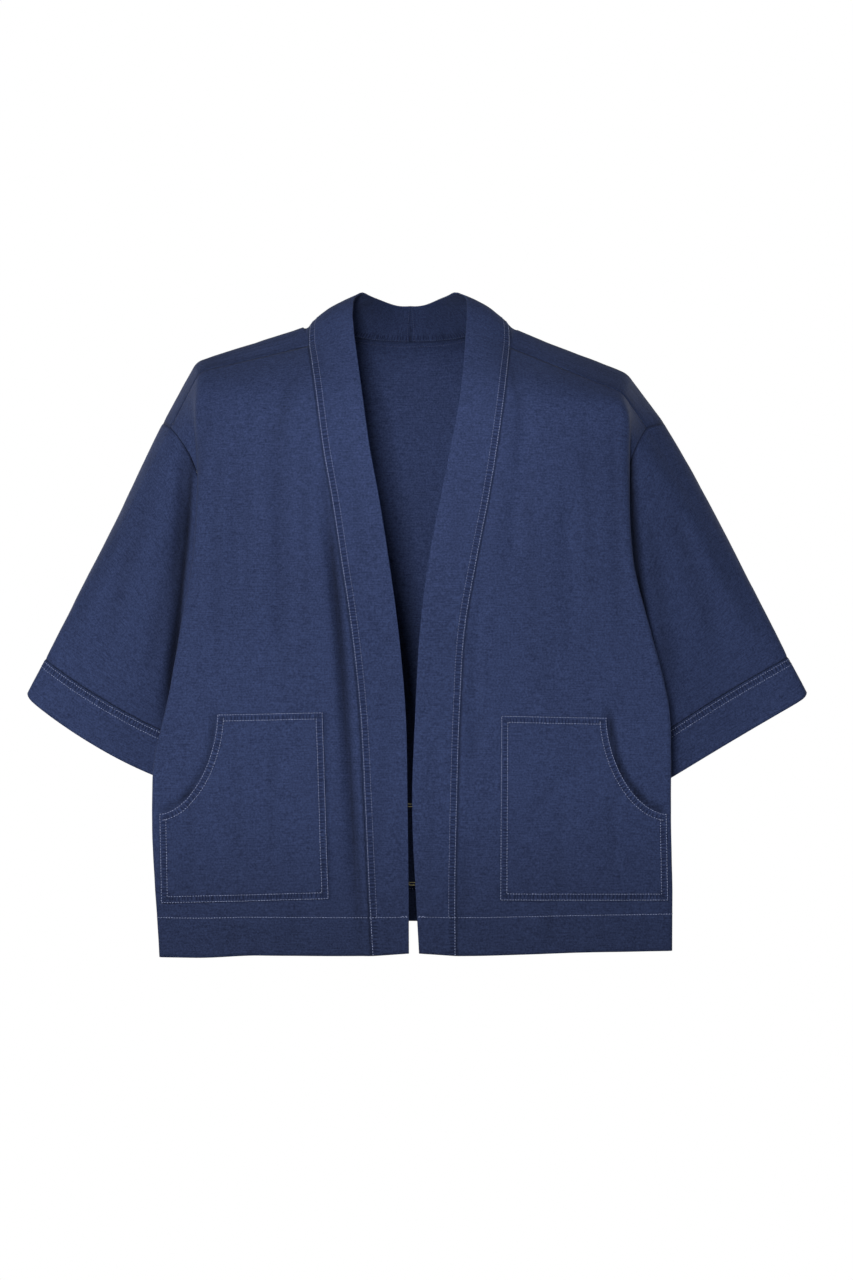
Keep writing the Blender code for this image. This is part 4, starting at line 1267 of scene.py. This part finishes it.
def plain_weave_group():
    """Height and tint of a fine plain weave on the flat cloth's metres, with uneven threads."""
    group = new_group(
        "plain weave",
        (("Cloth", "NodeSocketVector", None), ("Threads per metre", "NodeSocketFloat", 1400.0)),
        (("Height", "NodeSocketFloat"), ("Slub", "NodeSocketFloat")),
    )
    tree = Tree(group)
    source = tree.node("NodeGroupInput")
    drift = tree.noise(source.outputs["Cloth"], THREAD_DRIFTS_PER_METRE)
    parts = tree.node("ShaderNodeSeparateXYZ", {0: source.outputs["Cloth"]})
    waves = []
    for axis in ("X", "Y"):
        count = tree.math("MULTIPLY", parts.outputs[axis], source.outputs["Threads per metre"])
        moved = tree.math("ADD", count, tree.math("MULTIPLY", drift, THREAD_DRIFT))
        waves.append(tree.math("SINE", tree.math("MULTIPLY", moved, math.pi)))
    crossing = tree.math("MULTIPLY", waves[0], waves[1])
    height = tree.math("ADD", tree.math("MULTIPLY", crossing, 0.5), 0.5)
    slub_lines = tree.node(
        "ShaderNodeMapping", {"Vector": source.outputs["Cloth"], "Scale": SLUBS_PER_METRE}
    )
    slub = tree.noise(slub_lines.outputs[0], 1.0, 3.0, 0.6)
    out = tree.node("NodeGroupOutput")
    group.links.new(height, out.inputs["Height"])
    group.links.new(slub, out.inputs["Slub"])
    return group


def crepe_group():
    """Small crinkles of washed cotton and the soft patches of its dye."""
    group = new_group(
        "washed crepe",
        (("Place", "NodeSocketVector", None), ("Crinkle scale", "NodeSocketFloat", 420.0)),
        (("Height", "NodeSocketFloat"), ("Dye", "NodeSocketFloat")),
    )
    tree = Tree(group)
    source = tree.node("NodeGroupInput")
    crinkle = tree.noise(source.outputs["Place"], source.outputs["Crinkle scale"], 3.0, 0.62)
    broad = tree.noise(source.outputs["Place"], BROAD_CRINKLES_PER_METRE)
    height = tree.math("ADD", crinkle, tree.math("MULTIPLY", broad, BROAD_CRINKLE))
    dye = tree.noise(source.outputs["Place"], DYE_PATCHES_PER_METRE, 4.0, 0.55)
    out = tree.node("NodeGroupOutput")
    group.links.new(height, out.inputs["Height"])
    group.links.new(dye, out.inputs["Dye"])
    return group


def pucker_group():
    """Puckers between two rows of stitches, at a distance from an edge of the flat cloth."""
    group = new_group(
        "seam puckers",
        (
            ("Along", "NodeSocketFloat", 0.0),
            ("Off the edge", "NodeSocketFloat", 1.0),
            ("Middle", "NodeSocketFloat", 0.005),
            ("Reach", "NodeSocketFloat", 0.004),
            ("Pitch", "NodeSocketFloat", 0.0033),
        ),
        (("Height", "NodeSocketFloat"),),
    )
    tree = Tree(group)
    source = tree.node("NodeGroupInput")
    off = tree.math("SUBTRACT", source.outputs["Off the edge"], source.outputs["Middle"])
    share = tree.math("DIVIDE", off, source.outputs["Reach"])
    mask = tree.math("EXPONENT", tree.math("MULTIPLY", tree.math("MULTIPLY", share, share), -1.0))
    uneven = tree.node(
        "ShaderNodeTexNoise", {"W": source.outputs["Along"], "Scale": PUCKER_SHIFTS_PER_METRE},
        noise_dimensions="1D",
    )
    count = tree.math("DIVIDE", source.outputs["Along"], source.outputs["Pitch"])
    shifted = tree.math("ADD", count, tree.math("MULTIPLY", uneven.outputs["Fac"], PUCKER_SHIFT))
    wave = tree.math("SINE", tree.math("MULTIPLY", shifted, 2.0 * math.pi))
    height = tree.math("MULTIPLY", wave, mask)
    out = tree.node("NodeGroupOutput")
    group.links.new(height, out.inputs["Height"])
    return group


# Finishes: colours from the darkest to the lightest of each
INDIGO_DEEP = (0.0124, 0.0196, 0.0563, 1.0)
INDIGO_WORN = (0.0358, 0.0542, 0.1373, 1.0)
THREAD_PALE = (0.2700, 0.3100, 0.4800, 1.0)
THREAD_SHADE = (0.1500, 0.1850, 0.3200, 1.0)
# Darker copy of the pale thread, for the neckband's second rows
DARKER_THREAD_PALE = (0.1500, 0.1800, 0.3100, 1.0)
DARKER_THREAD_SHADE = (0.0750, 0.0950, 0.1900, 1.0)
MATCHED_PALE = (0.0420, 0.0600, 0.1450, 1.0)
MATCHED_SHADE = (0.0200, 0.0300, 0.0800, 1.0)
WIRE_LIGHT = (0.2100, 0.1900, 0.1000, 1.0)
WIRE_DARK = (0.0800, 0.0740, 0.0400, 1.0)
# The cloth gets painted shade from this height down to the hem, darkening it to this share of its
# brightness
HEM_SHADE_TOP = -0.500
HEM_SHADE_BASE = -0.720
HEM_SHADE = 0.62
# A full trough's painted shade darkens the cloth by this share
TROUGH_SHADE = 0.72
THREADS_PER_METRE = 1400.0
CRINKLES_PER_METRE = 500.0
PUCKER_REACH = 0.0026
PUCKER_PITCH = 0.0038
# How much each pattern adds to the cloth's tone, and the tones of the deep and the worn indigo
CREPE_TONE = 0.75
DYE_TONE = 0.08
SLUB_TONE = 0.45
# Painted shade in the puckers' dips between the twin rows
PUCKER_PAINTED_SHADE = -0.42
DEEP_TONE = 0.51
WORN_TONE = 0.86
# How much each pattern adds to the cloth's height
CREPE_HEIGHT = 0.80
WEAVE_HEIGHT = 0.10
PUCKER_HEIGHT = 0.9
CLOTH_RELIEF = (0.55, 0.0006)
THREAD_RELIEF = (0.5, 0.0001)
CLOTH_ROUGHNESS = 0.80
DYE_ROUGHNESS = 0.12
SHEEN_TINT = (0.55, 0.65, 0.9, 1.0)
TWISTS_PER_METRE = 900.0
THREAD_FADES_PER_METRE = 500.0
WIRE_MARKS_PER_METRE = 700.0


def new_material(name):
    made = bpy.data.materials.new(name)
    made.use_nodes = True
    tree = Tree(made.node_tree)
    shader = made.node_tree.nodes["Principled BSDF"]
    return made, tree, shader


def ramp(tree, factor, dark, light, low=0.3, high=0.7):
    made = tree.node("ShaderNodeValToRGB", {"Fac": factor})
    made.color_ramp.elements[0].position = low
    made.color_ramp.elements[0].color = dark
    made.color_ramp.elements[1].position = high
    made.color_ramp.elements[1].color = light
    return made.outputs["Color"]


def indigo_cloth():
    """Indigo cotton with puckers between the twin rows of stitches, and painted shade in its colour."""
    weave, crepe, pucker = plain_weave_group(), crepe_group(), pucker_group()
    made, tree, shader = new_material("indigo_cotton")
    cloth = tree.node("ShaderNodeUVMap", uv_map="cloth").outputs[0]
    place = tree.node("ShaderNodeTexCoord").outputs["Object"]
    woven = tree.node(
        "ShaderNodeGroup", {"Cloth": cloth, "Threads per metre": THREADS_PER_METRE}, node_tree=weave
    )
    washed = tree.node(
        "ShaderNodeGroup", {"Place": place, "Crinkle scale": CRINKLES_PER_METRE}, node_tree=crepe
    )
    seam = tree.node("ShaderNodeUVMap", uv_map="seam").outputs[0]
    seam_parts = tree.node("ShaderNodeSeparateXYZ", {0: seam})
    sewn = tree.node("ShaderNodeGroup", {
        "Along": seam_parts.outputs["X"], "Off the edge": seam_parts.outputs["Y"],
        "Middle": FIRST_ROW + ROW_SPACING / 2.0, "Reach": PUCKER_REACH, "Pitch": PUCKER_PITCH,
    }, node_tree=pucker)
    # Painted shade where the puckers dip; the puckers are also a real bump
    pucker_dip_shade = tree.math("MAXIMUM", sewn.outputs["Height"], 0.0)
    tone = tree.total(
        (washed.outputs["Height"], CREPE_TONE), (washed.outputs["Dye"], DYE_TONE),
        (woven.outputs["Slub"], SLUB_TONE), (pucker_dip_shade, PUCKER_PAINTED_SHADE),
    )
    color = ramp(tree, tone, INDIGO_DEEP, INDIGO_WORN, DEEP_TONE, WORN_TONE)
    height = tree.total(
        (washed.outputs["Height"], CREPE_HEIGHT), (woven.outputs["Height"], WEAVE_HEIGHT),
        (sewn.outputs["Height"], PUCKER_HEIGHT),
    )
    # Painted shade, darker towards the hem
    hem_painted_shade = tree.node("ShaderNodeMapRange", {
        "Value": tree.node("ShaderNodeSeparateXYZ", {0: place}).outputs["Z"],
        "From Min": HEM_SHADE_BASE, "From Max": HEM_SHADE_TOP, "To Min": HEM_SHADE,
    }, interpolation_type="SMOOTHSTEP")
    # Painted shade in the troughs and beside sewn edges
    trough = tree.node("ShaderNodeAttribute", attribute_name="trough").outputs["Fac"]
    open_share = tree.math("SUBTRACT", 1.0, tree.math("MULTIPLY", trough, TROUGH_SHADE))
    painted_shade_factor = tree.math("MULTIPLY", hem_painted_shade.outputs[0], open_share)
    color = tree.node("ShaderNodeVectorMath", {0: color, "Scale": painted_shade_factor}, operation="SCALE").outputs[0]
    rough = tree.math("MULTIPLY", washed.outputs["Dye"], DYE_ROUGHNESS)
    links = made.node_tree.links
    links.new(color, shader.inputs["Base Color"])
    links.new(tree.bump(height, *CLOTH_RELIEF), shader.inputs["Normal"])
    links.new(tree.math("ADD", rough, CLOTH_ROUGHNESS), shader.inputs["Roughness"])
    shader.inputs["Sheen Weight"].default_value = 0.04
    shader.inputs["Sheen Roughness"].default_value = 0.5
    shader.inputs["Sheen Tint"].default_value = SHEEN_TINT
    shader.inputs["Specular IOR Level"].default_value = 0.12
    return made


def sewing_thread(name, shade, light):
    made, tree, shader = new_material(name)
    place = tree.node("ShaderNodeTexCoord").outputs["Object"]
    strands = tree.node(
        "ShaderNodeTexWave", {"Vector": place, "Scale": TWISTS_PER_METRE, "Distortion": 2.0},
        bands_direction="DIAGONAL",
    )
    color = ramp(tree, tree.noise(place, THREAD_FADES_PER_METRE), shade, light)
    links = made.node_tree.links
    links.new(color, shader.inputs["Base Color"])
    links.new(tree.bump(strands.outputs["Fac"], *THREAD_RELIEF), shader.inputs["Normal"])
    shader.inputs["Roughness"].default_value = 0.6
    return made


def dark_wire():
    made, tree, shader = new_material("dark_wire")
    place = tree.node("ShaderNodeTexCoord").outputs["Object"]
    wear = tree.noise(place, WIRE_MARKS_PER_METRE, 3.0)
    made.node_tree.links.new(ramp(tree, wear, WIRE_DARK, WIRE_LIGHT), shader.inputs["Base Color"])
    made.node_tree.links.new(tree.math("ADD", wear, 0.1), shader.inputs["Roughness"])
    shader.inputs["Metallic"].default_value = 0.5
    return made


def dress():
    cotton = indigo_cloth()
    thread = sewing_thread("pale_thread", THREAD_SHADE, THREAD_PALE)
    inner_row_thread = sewing_thread("darker_thread", DARKER_THREAD_SHADE, DARKER_THREAD_PALE)
    matched = sewing_thread("matched_thread", MATCHED_SHADE, MATCHED_PALE)
    pieces = {}
    for side in (LEFT, RIGHT):
        name = SIDE_NAMES[side]
        pieces["front_" + name] = make_front(side, cotton)
        pieces["sleeve_" + name] = make_sleeve(side, cotton)
        pieces["cuff_" + name] = make_cuff(side, cotton)
        pieces["pocket_" + name] = make_pocket(side, cotton)
        pieces["neckband_" + name] = make_neckband(side, cotton)
    pieces["back"] = make_back(cotton)
    for node, piece in pieces.items():
        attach(piece, "root")
        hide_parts(node)
    sewing = (
        ("neckband_stitches_left", neckband_stitches(LEFT), thread),
        ("neckband_stitches_right", neckband_stitches(RIGHT), thread),
        ("neckband_inner_row_left", neckband_inner_row(LEFT), inner_row_thread),
        ("neckband_inner_row_right", neckband_inner_row(RIGHT), inner_row_thread),
        ("pocket_stitches_left", pocket_stitches(LEFT), thread),
        ("pocket_stitches_right", pocket_stitches(RIGHT), thread),
        ("cuff_stitches_left", cuff_stitches(LEFT), thread),
        ("cuff_stitches_right", cuff_stitches(RIGHT), thread),
        ("hem_stitches", hem_stitches(), thread),
        ("neck_stitches", neck_stitches(), matched),
    )
    for name, rows, finish in sewing:
        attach(stitching(name, rows, finish), "root")
    wire = dark_wire()
    for node in ("hook_upper", "eye_upper", "hook_lower", "eye_lower"):
        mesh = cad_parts[node].data
        mesh.materials.clear()
        mesh.materials.append(wire)
    return pieces


# Studio: places and sizes in metres, powers in watts
FLOOR_HEIGHT = -1.20
FLOOR_RADIUS = 14.0
FLOOR_CORNERS = 64
FLOOR_GREY = (0.35, 0.35, 0.35, 1.0)
WHITE = (1.0, 1.0, 1.0, 1.0)
AIR_LIGHT = 0.07
LIGHT_AIM = (0.0, 0.0, -0.36)
# columns: name, place, size, power, color
SOFT_LIGHTS = (
    ("key", (-0.32, -3.20, 0.10), 0.4, 75.0, (1.0, 0.99, 0.97)),
    ("side", (-2.20, -1.40, 0.00), 1.2, 25.0, (1.0, 0.99, 0.97)),
    ("fill", (2.00, -1.60, 0.00), 1.6, 8.0, (0.97, 0.98, 1.0)),
    ("rim", (0.30, 1.40, 1.60), 1.5, 3.0, (1.0, 1.0, 1.0)),
    ("back_left", (-2.40, 2.50, 0.00), 1.6, 50.0, (1.0, 0.99, 0.97)),
    ("back_right", (2.40, 2.50, 0.00), 1.6, 50.0, (1.0, 0.99, 0.97)),
)
# Narrow soft beam into the open neck
BEAM_PLACE = (-0.05, -3.10, 0.20)
BEAM_AIM = (0.0, 0.1, -0.11)
BEAM_POWER = 170.0
BEAM_DEGREES = 6.4
BEAM_SOURCE = 0.15
CAMERA_PLACE = (0.01485, -2.525, -0.36)
CAMERA_LENS = 61.37
CAMERA_SENSOR = 36.0


def studio_floor():
    """Round pale floor, plain white to the camera, and clear when seen from below."""
    bm = bmesh.new()
    bmesh.ops.create_circle(bm, cap_ends=True, segments=FLOOR_CORNERS, radius=FLOOR_RADIUS)
    bmesh.ops.translate(bm, verts=bm.verts, vec=(0.0, 0.0, FLOOR_HEIGHT))
    made, tree, shader = new_material("studio_white")
    shader.inputs["Base Color"].default_value = FLOOR_GREY
    shader.inputs["Roughness"].default_value = 1.0
    glow = tree.node("ShaderNodeEmission", {"Color": WHITE, "Strength": 1.0})
    seen = tree.node("ShaderNodeLightPath").outputs["Is Camera Ray"]
    above = tree.node("ShaderNodeMixShader", {0: seen, 1: shader.outputs[0], 2: glow.outputs[0]})
    below = tree.node("ShaderNodeNewGeometry").outputs["Backfacing"]
    clear = tree.node("ShaderNodeBsdfTransparent")
    both = tree.node("ShaderNodeMixShader", {0: below, 1: above.outputs[0], 2: clear.outputs[0]})
    out = made.node_tree.nodes["Material Output"]
    made.node_tree.links.new(both.outputs[0], out.inputs["Surface"])
    finished_object("studio_floor", bm, made)


def studio_lamp(light, place, aim):
    lamp = bpy.data.objects.new(light.name, light)
    lamp.location = place
    lamp.rotation_euler = (Vector(aim) - Vector(place)).to_track_quat("-Z", "Y").to_euler()
    bpy.context.scene.collection.objects.link(lamp)


def studio():
    """Soft light from the upper left, white air and the camera."""
    for name, place, size, power, color in SOFT_LIGHTS:
        light = bpy.data.lights.new(name, "AREA")
        light.size = size
        light.energy = power
        light.color = color
        studio_lamp(light, place, LIGHT_AIM)
    beam = bpy.data.lights.new("beam", "SPOT")
    beam.energy = BEAM_POWER
    beam.spot_size = math.radians(BEAM_DEGREES)
    beam.spot_blend = 1.0
    beam.shadow_soft_size = BEAM_SOURCE
    studio_lamp(beam, BEAM_PLACE, BEAM_AIM)

    world = bpy.data.worlds.new("studio_air")
    world.use_nodes = True
    tree = Tree(world.node_tree)
    seen = tree.node("ShaderNodeLightPath").outputs["Is Camera Ray"]
    strength = tree.math("MAXIMUM", seen, AIR_LIGHT)
    air = world.node_tree.nodes["Background"]
    air.inputs["Color"].default_value = WHITE
    world.node_tree.links.new(strength, air.inputs["Strength"])
    bpy.context.scene.world = world
    bpy.context.scene.view_settings.view_transform = "Standard"

    camera = bpy.data.cameras.new("camera")
    camera.lens = CAMERA_LENS
    camera.sensor_width = CAMERA_SENSOR
    viewer = bpy.data.objects.new("camera", camera)
    viewer.location = CAMERA_PLACE
    viewer.rotation_euler = (math.radians(90.0), 0.0, 0.0)
    bpy.context.scene.collection.objects.link(viewer)
    bpy.context.scene.camera = viewer


studio_floor()
studio()
dressed = dress()
